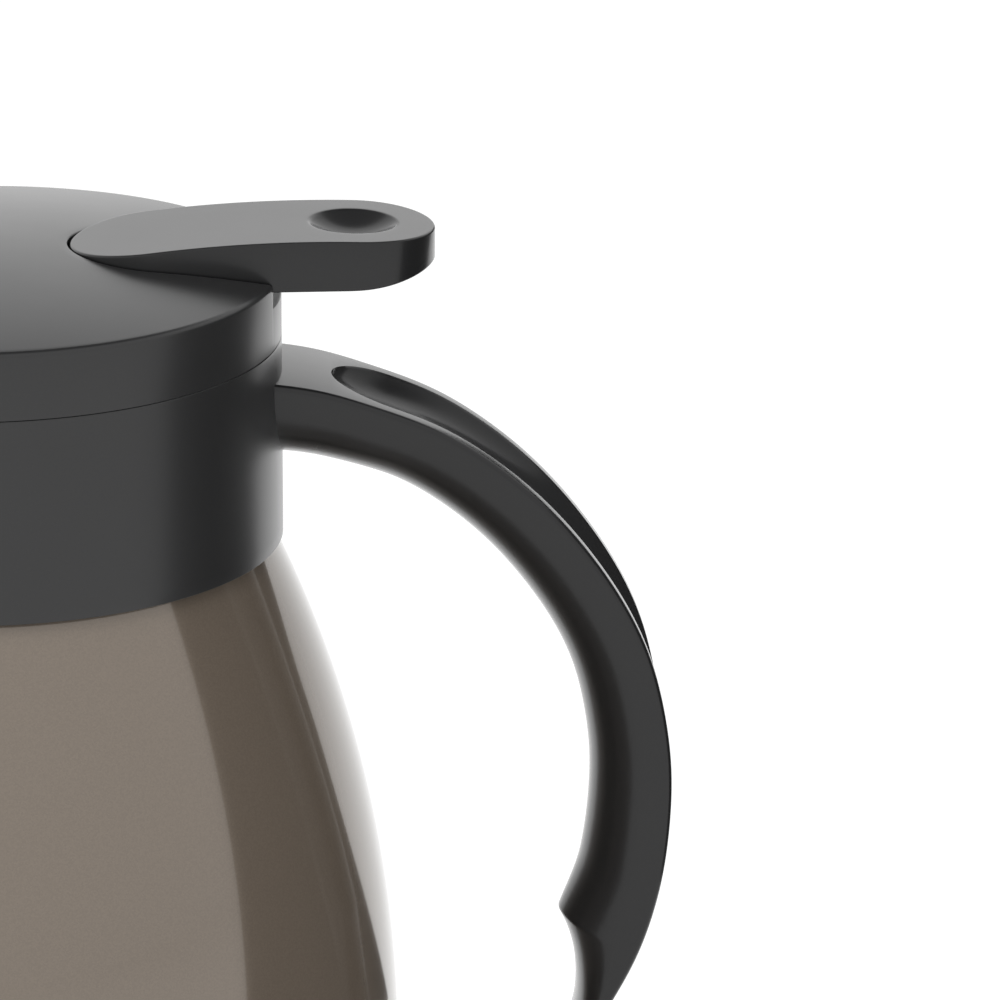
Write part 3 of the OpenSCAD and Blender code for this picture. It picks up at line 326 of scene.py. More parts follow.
def liner_wall(inset):
    """One face of the liner, from the middle of its floor to the throat: floor, round
    corner, flank parallel to the shell, and cone, each drawn inwards by the inset."""
    floor_z = liner_low.z + inset
    flank_z = np.linspace(floor_z + 0.5 * mm, cone_low_z, 60)
    flank = np.stack([belly_radius(flank_z, vacuum + inset), flank_z], axis=1)
    corner_at = (flank[0, 0], floor_z)
    corner = rounded([(0, floor_z), corner_at, tuple(flank[20])], [0, liner_corner - inset, 0], 12)
    bend = corner[13:26]
    cone_top = (mouth_r + sheet - inset, throat_z - inset)
    return np.vstack([[(0, floor_z)], bend, flank[flank[:, 1] > bend[-1, 1]], [cone_top]])


mouth = rounded(
    [
        (mouth_r + sheet, throat_z + 1 * mm),
        (mouth_r + sheet, rim_z),
        (neck_r, rim_z),
        (neck_r, liner_high.z),
        (mouth_r, liner_high.z),
        (mouth_r, throat_z + 1 * mm),
    ],
    [0, 0.2 * mm, 0.2 * mm, 0.4 * mm, 0.6 * mm, 0],
)
liner_outline = np.vstack([liner_wall(0), mouth, liner_wall(sheet)[::-1]])
liner = grid_piece("inner_liner_sheet", [(turned(liner_outline, 256), True, True)])
finished(liner, steel, "vessel", "steel", "inner_liner")


def dress(node, material):
    """A carried-over CAD node keeps its mesh: its loose triangles are welded by a modifier,
    and it gets its material."""
    solid = cad_nodes[node]
    solid.data.materials.clear()
    solid.data.materials.append(material)
    weld = solid.modifiers.new("weld", "WELD")
    weld.merge_threshold = 0.002 * mm
    return solid


for node in ("shell_bottom", "getter", "vacuum_plug"):
    dress(node, steel)


# Moulded plastic of the collar, handle, lid, lever, foot and the stopper's parts: satin
# charcoal polypropylene with a fine spark-eroded grain. The grain breaks the gloss up,
# and slow clouds in it change the gloss a little from place to place.
grain_group, given, result = effect_group(
    "moulded_grain",
    {"Grain Size": 0.35, "Cloud Size": 18.0, "Low": 0.28, "High": 0.36},
    {"Height": "NodeSocketFloat", "Roughness": "NodeSocketFloat", "Shade": "NodeSocketFloat"},
)
where = grain_group.nodes.new("ShaderNodeTexCoord")
grain, cloud = [
    linked(
        grain_group,
        "ShaderNodeTexNoise",
        Vector=where.outputs["Object"],
        Scale=texture_scale(grain_group, given.outputs[size]),
        Detail=detail,
    )
    for size, detail in (("Grain Size", 3.0), ("Cloud Size", 2.0))
]
gloss = linked(
    grain_group,
    "ShaderNodeMapRange",
    Value=cloud.outputs["Fac"],
    To_Min=given.outputs["Low"],
    To_Max=given.outputs["High"],
)
shade = linked(grain_group, "ShaderNodeMapRange", Value=grain.outputs["Fac"], To_Min=0.9, To_Max=1.1)
grain_group.links.new(grain.outputs["Fac"], result.inputs["Height"])
grain_group.links.new(gloss.outputs[0], result.inputs["Roughness"])
grain_group.links.new(shade.outputs[0], result.inputs["Shade"])
matt_roughness = 0.62


def moulded(name, color, low, high, grain_size=0.35, depth=0.1, **sockets):
    """A moulded material: its colour times the grain's shade, its gloss between two
    roughness values, the roughness of an etched face where a piece marks one, and the
    grain as a fine bump."""
    material, tree, shader = new_material(name, color, low, **sockets)
    grained = linked(tree, "ShaderNodeGroup", {"node_tree": grain_group})
    grained.inputs["Grain Size"].default_value = grain_size
    grained.inputs["Low"].default_value = low
    grained.inputs["High"].default_value = high
    tint = linked(tree, "ShaderNodeVectorMath", {"operation": "SCALE"}, i0=color)
    tree.links.new(grained.outputs["Shade"], tint.inputs["Scale"])
    tree.links.new(tint.outputs[0], shader.inputs["Base Color"])
    matt = linked(tree, "ShaderNodeAttribute", {"attribute_name": "matt"})
    rough = linked(
        tree,
        "ShaderNodeMapRange",
        Value=matt.outputs["Fac"],
        To_Min=grained.outputs["Roughness"],
        To_Max=matt_roughness,
    )
    tree.links.new(rough.outputs[0], shader.inputs["Roughness"])
    grain_h = 0.02 * mm
    bump = linked(tree, "ShaderNodeBump", Height=grained.outputs["Height"], Strength=depth, Distance=grain_h)
    tree.links.new(bump.outputs["Normal"], shader.inputs["Normal"])
    return material


plastic_ior = 1.33
plastic = moulded(
    "charcoal_plastic",
    (0.02, 0.02, 0.0205),
    0.38,
    0.44,
    IOR=plastic_ior,
    Coat_Weight=1.0,
    Coat_IOR=plastic_ior,
    Coat_Roughness=0.26,
)
grip_ior = 1.285
grip_plastic = moulded(
    "grip_plastic",
    (0.0155, 0.0155, 0.016),
    0.31,
    0.36,
    IOR=grip_ior,
    Coat_Weight=1.0,
    Coat_IOR=grip_ior,
    Coat_Roughness=0.18,
)
inner_plastic = moulded("stopper_plastic", (0.022, 0.022, 0.023), 0.34, 0.42)
silicone = moulded(
    "grey_silicone", (0.30, 0.31, 0.31), 0.5, 0.6, 0.2, Subsurface_Weight=0.1, Subsurface_Scale=0.002
)
rubber = moulded("black_rubber", (0.016, 0.016, 0.016), 0.62, 0.75, 0.5, 0.2)


# Foot ring and pad. The ring is moulded plastic and snaps into the shell's lower edge;
# the pad is a rubber disc glued under it, with shallow rings that keep it from sliding.
foot_low, foot_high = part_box("foot_ring")
pad_low, pad_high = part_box("foot_pad")
foot_round = 1 * mm
foot_wall = 2 * mm
snap_r = belly_radius(shell_low.z, sheet) - 0.2 * mm
foot_side_z = np.linspace(foot_low.z + foot_round, shell_low.z, 12)
foot_side = np.stack([belly_radius(foot_side_z), foot_side_z], axis=1)
foot_inner = rounded(
    [
        (snap_r, shell_low.z),
        (snap_r, foot_high.z),
        (snap_r - foot_wall, foot_high.z),
        (snap_r - foot_wall, pad_high.z + foot_wall),
        (0, pad_high.z + foot_wall),
        (0, pad_high.z),
        (pad_high.y + 0.2 * mm, pad_high.z),
        (pad_high.y + 0.2 * mm, foot_low.z),
        (belly_radius(foot_low.z), foot_low.z),
    ],
    [0, 0.3 * mm, 0.3 * mm, 0.5 * mm, 0, 0, 0.1 * mm, 0.3 * mm, foot_round],
)
foot = grid_piece("foot_ring_moulding", [(turned(np.vstack([foot_side, foot_inner]), 360), True, True)])
finished(foot, plastic, "vessel", "plastic", "foot_ring")

pad_r = pad_high.y
ring_pitch = 6 * mm
ring_depth = 0.35 * mm
under_r = np.linspace(0, pad_r - 1.5 * mm, 160)
under_z = ring_depth * np.clip(3 * np.cos(2 * np.pi * under_r / ring_pitch) - 1.6, 0, 1)
pad_outline = np.vstack(
    [
        np.stack([under_r, pad_low.z + under_z], axis=1),
        rounded(
            [(pad_r - 1 * mm, pad_low.z), (pad_r, pad_low.z), (pad_r, pad_high.z), (0, pad_high.z)],
            [0, 0.4 * mm, 0.1 * mm, 0],
        ),
    ]
)
pad = grid_piece("foot_pad_rubber", [(turned(pad_outline, 256), True, True)])
finished(pad, rubber, "vessel", "rubber", "foot_pad")


# Collar with its pouring lip. One moulding round the steel neck: a straight wall, a drip
# deck just under its top edge, and opposite the handle a lip that swells out of the wall.
# A short trough under the deck leads from the threaded ring to the lip.
collar_low, collar_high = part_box("collar")
collar_r = collar_high.y
collar_t = 2.6 * mm
collar_in_r = collar_r - collar_t
seam_z = collar_high.z
lip_reach = -collar_low.x
lip_tip_r = 4.6 * mm
lip_root_x = collar_in_r - 4 * mm
lip_half_w = 13 * mm
lip_t = 2 * mm
lip_blend = 0.8 * mm
wall_blend = 0.5 * mm
root_dent = 0.12 * mm
root_dent_w = 2 * mm
trough_z = seam_z - 11 * mm
tip_floor_z = seam_z - 3 * mm
deck_top_z = seam_z - 2.5 * mm
deck_t = 2.5 * mm
deck_in_r = 40.7 * mm


def soft_max(a, b, blend):
    """The larger of two values, with a round change-over as wide as the blend."""
    return 0.5 * (a + b + np.sqrt((a - b) ** 2 + blend**2))


def lip_radius(angle, inset=0.0):
    """Radius of the lip's plan in a direction: a wedge with straight sides that touch a
    round tip. The side gives the radius where its line is crossed, the tip where its
    circle is, and the nearer one holds."""
    off = np.abs((angle - np.pi + np.pi) % (2 * np.pi) - np.pi)
    centre = lip_reach - lip_tip_r
    tip = lip_tip_r - inset
    root = np.array([lip_root_x, lip_half_w - inset])
    lean = np.arccos(tip / np.hypot(centre - root[0], root[1])) - np.arctan2(centre - root[0], root[1])
    touch = centre + tip * np.sin(lean)
    normal = np.array([np.sin(lean), np.cos(lean)])
    side = (normal @ root) / np.maximum(np.cos(off) * normal[0] + np.sin(off) * normal[1], 1e-6)
    on_tip = centre * np.cos(off) + np.sqrt(np.maximum(tip**2 - (centre * np.sin(off)) ** 2, 0))
    at_touch = np.arctan2(tip * np.cos(lean), touch)
    return np.where(off < at_touch, on_tip, np.where(off < 0.5 * np.pi, side, 0))


def collar_face(angle, z, inset):
    """Radius of the collar's outer face, or of its inner one with an inset. The plain
    wall is a cylinder. In the lip the radius is the lip's plan, cut by a slope that
    rises from the trough to the tip, and a soft maximum blends it into the wall."""
    wall = collar_r - inset
    low = trough_z - lip_t
    slope = (lip_reach + 1 * mm - collar_r) / (tip_floor_z - lip_t - low)
    under = collar_r + (z - low) * slope - (inset > 0) * lip_t * slope
    bulge = -soft_max(-lip_radius(angle, lip_t * (inset > 0)), -under, lip_blend)
    return soft_max(wall, bulge, wall_blend) - root_dent * np.exp(-(((bulge - wall) / root_dent_w) ** 2))


collar_angle = np.linspace(0, 2 * np.pi, 640, endpoint=False)
lip_zoom = 0.55
collar_angle = collar_angle + lip_zoom * np.sin(collar_angle)
seam_edge = 0.09 * mm
seam_share = 0.1 * mm
wall_top_z = seam_z + seam_share
rise = np.concatenate(
    [
        np.linspace(collar_low.z + seam_edge, trough_z - 4 * mm, 10),
        np.linspace(trough_z - 3.6 * mm, wall_top_z - seam_edge, 48),
    ]
)
arc = np.linspace(0, np.pi / 2, 5)
out_z = np.concatenate(
    [collar_low.z + seam_edge * (1 - np.cos(arc)), rise[1:-1], wall_top_z - seam_edge * (1 - np.sin(arc))]
)
out_back = np.concatenate([seam_edge * (1 - np.sin(arc)), 0 * rise[1:-1], seam_edge * (1 - np.cos(arc))])
outer_r = collar_face(collar_angle[:, None], out_z[None, :], 0.0) - out_back
inner_r = collar_face(collar_angle[:, None], out_z[None, ::-1], collar_t) + out_back[::-1]
wall_r = np.concatenate([outer_r, inner_r], axis=1)
wall_z = np.concatenate([out_z, out_z[::-1]])
wall = np.stack(
    [
        wall_r * np.cos(collar_angle)[:, None],
        wall_r * np.sin(collar_angle)[:, None],
        wall_z[None, :] + 0 * wall_r,
    ],
    axis=-1,
)
off_lip = np.abs(collar_angle - np.pi)
deck_out = np.minimum(collar_in_r + 0.3 * mm, (collar_in_r - 1.6 * mm) / np.maximum(np.cos(off_lip), 0.1))
deck_out = np.where(off_lip < 0.4, deck_out, collar_in_r + 0.3 * mm)
share = np.array([0, 0, 0.02, 0.98, 1, 1, 0.98, 0.02])
level = deck_top_z - deck_t * np.array([0.15, 0.85, 1, 1, 0.85, 0.15, 0, 0])
deck_r = deck_in_r + (deck_out[:, None] - deck_in_r) * share
deck = np.stack(
    [
        deck_r * np.cos(collar_angle)[:, None],
        deck_r * np.sin(collar_angle)[:, None],
        level[None, :] + 0 * deck_r,
    ],
    axis=-1,
)
trough_half = 8 * mm
trough_section = rounded(
    [
        (-trough_half - lip_t, trough_z - lip_t),
        (trough_half + lip_t, trough_z - lip_t),
        (trough_half + lip_t, deck_top_z - deck_t),
        (trough_half, deck_top_z - deck_t),
        (trough_half, trough_z),
        (-trough_half, trough_z),
        (-trough_half, deck_top_z - deck_t),
        (-trough_half - lip_t, deck_top_z - deck_t),
    ],
    [0.5 * mm, 0.5 * mm, 0, 0, 1 * mm, 1 * mm, 0, 0],
)
trough_from = 42.4 * mm
trough_x = np.array([-trough_from, -collar_in_r - 0.5 * mm])
trough = np.stack(
    [
        trough_x[:, None] + 0 * trough_section[:, 0],
        trough_section[:, 0] + 0 * trough_x[:, None],
        trough_section[:, 1] + 0 * trough_x[:, None],
    ],
    axis=-1,
)
collar = grid_piece("collar_moulding", [(wall, True, True), (deck, True, True), (trough, False, True)])
finished(collar, plastic, "vessel", "plastic", "collar")


# Neck insert, threaded ring and mouth gasket. The insert is pressed on the steel neck and
# squeezes a silicone gasket on the rim; a coarse thread inside it takes the lid.
dress("neck_insert", inner_plastic)
dress("mouth_gasket", silicone)

insert_r = 37.5 * mm


def thread_ridge(radius, height, width, low_z, pitch, turns, start, outward):
    """A thread: a small trapezium carried along a helix. Its middle climbs by the pitch
    each turn, and its height fades to nothing over the first and last part of a turn."""
    along = np.linspace(0, 2 * np.pi * turns, int(180 * turns) + 1)
    ends = np.minimum(along, along[-1] - along) / 0.35
    tall = height * np.clip(ends, 0.02, 1)
    across = np.array([-0.5, -0.28, 0.28, 0.5, 0.5, -0.5]) * width
    out = np.array([0, 1, 1, 0, 0, 0])
    sink = np.array([0, 0, 0, 0, 1, 1]) * 0.3 * mm
    r = radius + outward * (tall[:, None] * out - sink)
    angle = start + along[:, None]
    z = low_z + pitch * along[:, None] / (2 * np.pi) + across
    return np.stack([r * np.cos(angle), r * np.sin(angle), z + 0 * r], axis=-1)


thread_h = 0.26 * mm
thread_w = 1.3 * mm
thread_low_z = 205.4 * mm
thread_pitch = 2.2 * mm
thread_turns = 0.8
thread_starts = (0.9, 0.9 + np.pi)
insert_ridges = [
    thread_ridge(insert_r, thread_h, thread_w, thread_low_z, thread_pitch, thread_turns, start, -1)
    for start in thread_starts
]
insert_thread = grid_piece("insert_thread", [(ridge, False, True) for ridge in insert_ridges])
finished(insert_thread, inner_plastic, "vessel", "plastic")


# Handle. One long moulding with a C-shaped run: its root seats on the collar and two
# screws hold it from inside; a groove with round ends lightens its outer face, a low stop
# keeps the fingers from sliding off, and the end below it thins to a free tip.
handle_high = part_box("handle")[1]
handle_reach = handle_high.x - collar_r
handle_path = np.array(
    [
        [-0.06, -0.004], [0.08, 0.006], [0.21, 0.028], [0.43, 0.076], [0.65, 0.165],
        [0.825, 0.277], [0.938, 0.39], [0.99, 0.508], [1, 0.605], [0.975, 0.727],
        [0.915, 0.84], [0.824, 0.935], [0.755, 1],
    ]
)
handle_root_z = shoulder_z + 28.8 * mm
handle_drop = 124 * mm
grip_t = 13.2 * mm
grip_w = 27 * mm
tip_t = 2.2 * mm
tip_w = 19 * mm
stop_dist = 23 * mm
stop_rise = 0.8 * mm
root_flare = 1.4 * mm
flare_l = 30 * mm
tip_hollow = 1.75
edge_r = 1 * mm
groove_w = 20 * mm
groove_h = 3 * mm
groove_round = 11 * mm
groove_power = 3
groove_start = 8.6 * mm
groove_end = 26 * mm
root_in = 0.06 * handle_reach
root_sink = 1.3 * mm


def smooth_step(x, a, b):
    """0 before a, 1 after b, and three t squared less two t cubed between them."""
    t = np.clip((x - a) / (b - a), 0, 1)
    return t * t * (3 - 2 * t)


def catmull_rom(points, steps):
    """A curve through every point: each span is a cubic whose end slopes are half the
    step between the neighbours of its ends."""
    padded = np.vstack([2 * points[0] - points[1], points, 2 * points[-1] - points[-2]])
    a, b, c, d = padded[:-3, None], padded[1:-2, None], padded[2:-1, None], padded[3:, None]
    t = np.linspace(0, 1, steps, endpoint=False)[None, :, None]
    cubic = 0.5 * (2 * b + (c - a) * t + (2 * a - 5 * b + 4 * c - d) * t**2 + (3 * b - a - 3 * c + d) * t**3)
    return np.vstack([cubic.reshape(-1, 2), points[-1:]])


path = np.stack(
    [collar_r + handle_reach * handle_path[:, 0], handle_root_z - handle_drop * handle_path[:, 1]], axis=1
)
edge_line = catmull_rom(path, 40)
steps_along = np.linalg.norm(np.diff(edge_line, axis=0), axis=1)
run = np.concatenate([[0], np.cumsum(steps_along)])
stations = np.linspace(0, run[-1], 420)
edge_line = np.stack([np.interp(stations, run, edge_line[:, k]) for k in (0, 1)], axis=1)
soften = np.exp(-0.5 * (np.arange(-30, 31) / 10.0) ** 2)
soften /= soften.sum()
before = 2 * edge_line[0] - edge_line[30:0:-1]
after = 2 * edge_line[-1] - edge_line[-2:-32:-1]
padded = np.vstack([before, edge_line, after])
edge_line = np.stack([np.convolve(padded[:, k], soften, "valid") for k in (0, 1)], axis=1)
bowl = groove_round * (1 - np.cos(np.linspace(0, np.pi / 2, 24)))
run = np.unique(
    np.concatenate([stations, root_in + groove_start + bowl, stations[-1] - groove_end - bowl])
)
edge_line = np.stack([np.interp(run, stations, edge_line[:, k]) for k in (0, 1)], axis=1)
heading = np.stack([np.gradient(edge_line[:, k], run) for k in (0, 1)], axis=1)
heading /= np.linalg.norm(heading, axis=1, keepdims=True)
inward = np.stack([heading[:, 1], -heading[:, 0]], axis=1)

left = run[-1] - run
full_t = grip_t + stop_rise * smooth_step(-left, -stop_dist - 14 * mm, -stop_dist)
root_t = root_flare * (1 - smooth_step(run, 0, flare_l))
taper_t = tip_t + (grip_t + stop_rise - tip_t) * np.maximum(left / stop_dist, 0) ** tip_hollow
handle_t = np.where(left >= stop_dist, full_t + root_t, taper_t)
half_w = tip_w / 2 + (grip_w - tip_w) / 2 * smooth_step(left, 0, stop_dist + 20 * mm)


def round_end(x):
    """0 to 1 along a quarter circle, so that a groove opens with a round end."""
    return np.sqrt(np.maximum(1 - (1 - np.clip(x, 0, 1)) ** 2, 0))


groove = np.minimum(
    round_end((run - root_in - groove_start) / groove_round),
    round_end((run[-1] - groove_end - run) / groove_round),
)[:, None]
corner_r = np.minimum(edge_r, handle_t / 3)[:, None]
flat_half = (half_w[:, None] - corner_r - 1.4 * mm).clip(0, groove_w / 2)
across_groove = np.linspace(0, 1, 22)[None, :]
groove_x = flat_half * groove * across_groove
groove_y = groove_h * groove * (1 - across_groove**groove_power)
flat_x = groove_x[:, -1:] + np.array([[0.1, 0.35]]) * mm
turn = np.linspace(0, np.pi / 2, 7)[None, :]
corner_x = half_w[:, None] - corner_r + corner_r * np.sin(turn)
corner_y = corner_r * (1 - np.cos(turn))
belly = np.linspace(0, np.pi / 2, 33)[None, 1:]
belly_x = half_w[:, None] * np.cos(belly).clip(0)
belly_y = corner_r + (handle_t[:, None] - corner_r) * np.sin(belly)
half_x = np.hstack([groove_x, flat_x, corner_x, belly_x])
half_y = np.hstack([groove_y, 0 * flat_x, corner_y, belly_y])
section_x = np.hstack([half_x, -half_x[:, -2:0:-1]])
section_y = np.hstack([half_y, half_y[:, -2:0:-1]])
loft = np.stack(
    [
        edge_line[:, :1] + inward[:, :1] * section_y,
        section_x,
        edge_line[:, 1:] + inward[:, 1:] * section_y,
    ],
    axis=-1,
)
seat_x = np.sqrt((collar_r - root_sink) ** 2 - loft[..., 1] ** 2)
loft[..., 0] = np.maximum(loft[..., 0], seat_x)
tip_cap = np.stack([loft[-1], loft[-1].mean(axis=0) + 0 * loft[-1]])
root_cap = np.stack([loft[0].mean(axis=0) + 0 * loft[0], loft[0]])
etched = np.zeros(section_x.shape)
inside_groove = across_groove.shape[1] - 1
etched[:, :inside_groove] = groove > 0.02
etched[:, 1 - inside_groove :] = groove > 0.02
etched = np.vstack([0 * etched[:1], etched, 0 * etched[:1]])
handle_rows = np.concatenate([root_cap, loft[1:], tip_cap[1:]])
handle = grid_piece("handle_moulding", [(handle_rows, False, True)], 50, etched)
finished(handle, grip_plastic, "vessel", "plastic", "handle")
for node in ("handle_screw_a", "handle_screw_b"):
    dress(node, steel)


# Stopper, guide plate, seal and valve. The stopper cup hangs under the lid with a ring of
# pouring windows; a silicone ring seals it in the mouth, and the valve disc closes its
# floor. The spring round the stem pushes the valve shut.
dress("stopper_cup", inner_plastic)
dress("guide_plate", inner_plastic)
dress("valve_stem", inner_plastic)
dress("valve_disc", inner_plastic)
dress("valve_seal", silicone)
dress("lid_gasket", silicone)
dress("stem_clip", steel)
dress("stopper_seal", silicone)

cup_r = 36.9 * mm
cup_thread_w = 1.1 * mm
cup_thread_z = thread_low_z - thread_pitch / 2
cup_ridges = [
    thread_ridge(cup_r, thread_h, cup_thread_w, cup_thread_z, thread_pitch, thread_turns, start, 1)
    for start in thread_starts
]
cup_thread = grid_piece("stopper_thread", [(ridge, False, True) for ridge in cup_ridges])
finished(cup_thread, inner_plastic, "closure", "plastic")


# Return spring. Round steel wire coiled round the stem, with a closed turn at each end, so
# that it stands flat between the valve disc and the guide plate. In the carafe it shortens
# as the valve rises; here the coil keeps one length.
spring_low, spring_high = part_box("return_spring")
wire_r = 0.5 * mm
coil_r = spring_high.x - wire_r
coil_turns = 6
closed_turns = 0.8
closed_rise = 0.4


def coil_climb(turn):
    """Share of the spring's height at a turn of its wire: it grows with the square of the
    turn over the closed part at each end, and evenly between the two."""
    x, closed = turn / coil_turns, closed_turns / coil_turns
    even = closed_rise * closed + (x - closed) * (1 - 2 * closed_rise * closed) / (1 - 2 * closed)
    start, stop = closed_rise * x**2 / closed, 1 - closed_rise * (1 - x) ** 2 / closed
    return np.where(x < closed, start, np.where(x > 1 - closed, stop, even))


coil_turn = np.linspace(0, coil_turns, 56 * coil_turns + 1)[:, None]
wire_turn = np.linspace(0, 2 * np.pi, 16, endpoint=False)[None, :]
wire_at = np.full(len(coil_turn), wire_r)[:, None]
wire_at[[0, -1]] = 0
coil_turn[0], coil_turn[-1] = coil_turn[1], coil_turn[-2]
coil_angle = 2 * np.pi * coil_turn
wire_out = coil_r + wire_at * np.cos(wire_turn)
wire_z = spring_low.z + wire_r + (spring_high.z - spring_low.z - 2 * wire_r) * coil_climb(coil_turn)
coil = np.stack(
    [wire_out * np.cos(coil_angle), wire_out * np.sin(coil_angle), wire_z + wire_at * np.sin(wire_turn)],
    axis=-1,
)
spring = grid_piece("return_spring_coil", [(coil, False, True)])
finished(spring, steel, "closure", "steel", "return_spring")
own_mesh(spring)


# Lid cover. A low dome with a straight side, moulded in one with a recess for the lever:
# the recess has a level floor, a round inner end with a fine gap to the lever, and runs
# out through the rim, where its floor slopes down to let the lever rock.
lid_low, lid_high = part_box("lid_cover")
lever_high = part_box("thumb_lever")[1]
lid_r = lid_high.y
lid_t = 2.2 * mm
lid_rim_z = lid_low.z + 11.4 * mm
skirt_low_z = lid_low.z - seam_share
dome_top_z = lid_high.z
dome_h = dome_top_z - lid_rim_z
dome_arc = (lid_r**2 + dome_h**2) / (2 * dome_h)
rim_round = 1 * mm
lever_gap = 0.4 * mm
lever_half = lever_high.y
tip_centre_x = 29.9 * mm
end_centre_x = lever_high.x - lever_half
pivot = Vector((40 * mm, 0, lid_rim_z - 4.5 * mm))
recess_z = lid_rim_z - 1.8 * mm
recess_slope = math.tan(math.radians(12))
recess_half = lever_half + lever_gap
recess_t = 1.8 * mm
wall_sink = 0.6 * mm
recess_edge = 0.3 * mm
edge_fade = 1.5 * mm
rim_corner_x = math.sqrt(lid_r**2 - recess_half**2)


def dome_z(radius, inset=0.0):
    """Height of the dome over its radius: one long arc, drawn inwards by the inset."""
    return dome_top_z - dome_arc + np.sqrt((dome_arc - inset) ** 2 - radius**2)


def recess_line(u, grow=0.0):
    """Plan of the recess as a line from one rim corner round the inner end to the other:
    straight, half a circle, straight, with u from 0 to 1 by length along it."""
    straight = rim_corner_x - tip_centre_x
    bend = np.pi * recess_half
    s = u * (2 * straight + bend)
    half = recess_half + grow
    turn = np.clip((s - straight) / recess_half, 0, np.pi)
    x = np.where(s < straight, rim_corner_x - s, tip_centre_x)
    x = np.where(s > straight + bend, tip_centre_x + s - straight - bend, x)
    return np.stack([x - half * np.sin(turn), -half * np.cos(turn)], axis=-1)


def rim_line(u, radius):
    """The same line's partner on the rim: from one corner the long way round, with both
    ends in line with the recess's sides."""
    corner = np.arcsin(recess_half / radius)
    angle = -corner - u * (2 * np.pi - 2 * corner)
    return np.stack([radius * np.cos(angle), radius * np.sin(angle)], axis=-1)


rim_r = lid_r - rim_round
round_z = dome_top_z - dome_arc + math.sqrt((dome_arc - rim_round) ** 2 - rim_r**2)
tilt = math.asin(rim_r / (dome_arc - rim_round))


def lid_top(radius):
    """Height of the lid's top over its radius: the dome, and the rounded rim beyond it."""
    round_over = round_z + np.sqrt(np.maximum(rim_round**2 - (radius - rim_r).clip(0) ** 2, 0))
    on_dome = radius < rim_r + rim_round * math.sin(tilt)
    return np.where(on_dome, dome_z(np.minimum(radius, lid_r)), round_over)


def recess_floor(x):
    """Height of the recess's floor: level to the pivot, then falling to the rim."""
    return recess_z - recess_slope * np.maximum(x - pivot.x, 0)


u = np.linspace(0, 1, 641)
inner = recess_line(u)
inner_wall = recess_line(u, lid_t)
inner_wall *= np.minimum((lid_r - lid_t) / np.linalg.norm(inner_wall, axis=1), 1)[:, None]
inner_r = np.linalg.norm(inner, axis=1)
floor_z = recess_floor(inner[:, 0])
edge = recess_edge * ((lid_r - inner_r) / edge_fade).clip(0, 1)[:, None]
arc = np.linspace(0, np.pi / 2, 6)
outward = recess_line(u, 1.0) - inner
rows = [np.column_stack([inner, floor_z - wall_sink])]
for a in arc:
    flat = inner + outward * edge * (1 - math.cos(a))
    top = lid_top(np.linalg.norm(flat, axis=1)) - edge[:, 0] * (1 - math.sin(a))
    rows.append(np.column_stack([flat, top]))
start = inner + outward * edge
past_rim = ((np.linalg.norm(start, axis=1) - rim_r) / rim_round).clip(0, 1)
first_turn = np.maximum(tilt, np.arcsin(past_rim))
rim = rim_line(u, rim_r + rim_round * np.sin(first_turn))
for share in np.linspace(0, 1, 40)[1:]:
    flat = start + (rim - start) * share
    rows.append(np.column_stack([flat, lid_top(np.linalg.norm(flat, axis=1))]))
for share in np.linspace(0, 1, 8)[1:]:
    a = first_turn + (np.pi / 2 - first_turn) * share
    around_rim = rim_line(u, rim_r + rim_round * np.sin(a))
    rows.append(np.column_stack([around_rim, round_z + rim_round * np.cos(a)]))
for a in arc:
    around_skirt = rim_line(u, lid_r - seam_edge * (1 - math.cos(a)))
    rows.append(np.column_stack([around_skirt, 0 * u + skirt_low_z + seam_edge * (1 - math.sin(a))]))
inside_r = lid_r - lid_t
rows.append(np.column_stack([rim_line(u, inside_r), 0 * u + skirt_low_z]))
rows.append(np.column_stack([rim_line(u, inside_r), 0 * u + lid_rim_z - lid_t]))
under_rim = rim_line(u, inside_r)
for share in np.linspace(0, 1, 12)[1:]:
    flat = under_rim + (inner_wall - under_rim) * share
    rows.append(np.column_stack([flat, dome_z(np.minimum(np.linalg.norm(flat, axis=1), lid_r), lid_t)]))
rows.append(np.column_stack([inner_wall, floor_z - recess_t]))
shell_rows = np.stack(rows)
centre_line = shell_rows.mean(axis=0)
lid_start = np.stack([shell_rows[:, 0], centre_line[0] + 0 * shell_rows[:, 0]], axis=1)
lid_stop = np.stack([centre_line[-1] + 0 * shell_rows[:, -1], shell_rows[:, -1]], axis=1)
lid_shell = np.concatenate([lid_start[:, ::-1], shell_rows[:, 1:-1], lid_stop[:, ::-1]], axis=1)

across_y = recess_half * np.sin(np.linspace(-0.5, 0.5, 81) * np.pi)
round_x = tip_centre_x - np.sqrt(np.maximum(recess_half**2 - across_y**2, 0))
brink = 0.35 * mm
brink_x = np.sqrt((lid_r - brink) ** 2 - across_y**2)
floor_rows = []
for share in np.linspace(0, 1, 24):
    x = round_x + (brink_x - round_x) * share
    floor_rows.append(np.column_stack([x, across_y, recess_floor(x)]))
for a in np.linspace(0, np.pi / 2, 6)[1:]:
    x = np.sqrt((lid_r - brink * (1 - math.sin(a))) ** 2 - across_y**2)
    z = recess_floor(brink_x) - brink * (1 - math.cos(a))
    floor_rows.append(np.column_stack([x, across_y, z]))
for a in arc:
    x = np.sqrt((lid_r - seam_edge * (1 - math.cos(a))) ** 2 - across_y**2)
    z = 0 * x + skirt_low_z + seam_edge * (1 - math.sin(a))
    floor_rows.append(np.column_stack([x, across_y, z]))
inside_x = np.sqrt(inside_r**2 - across_y**2)
floor_rows.append(np.column_stack([inside_x, across_y, 0 * inside_x + skirt_low_z]))
for share in np.linspace(1, 0, 12):
    x = round_x + (inside_x - round_x) * share
    floor_rows.append(np.column_stack([x, across_y, recess_floor(x) - recess_t]))
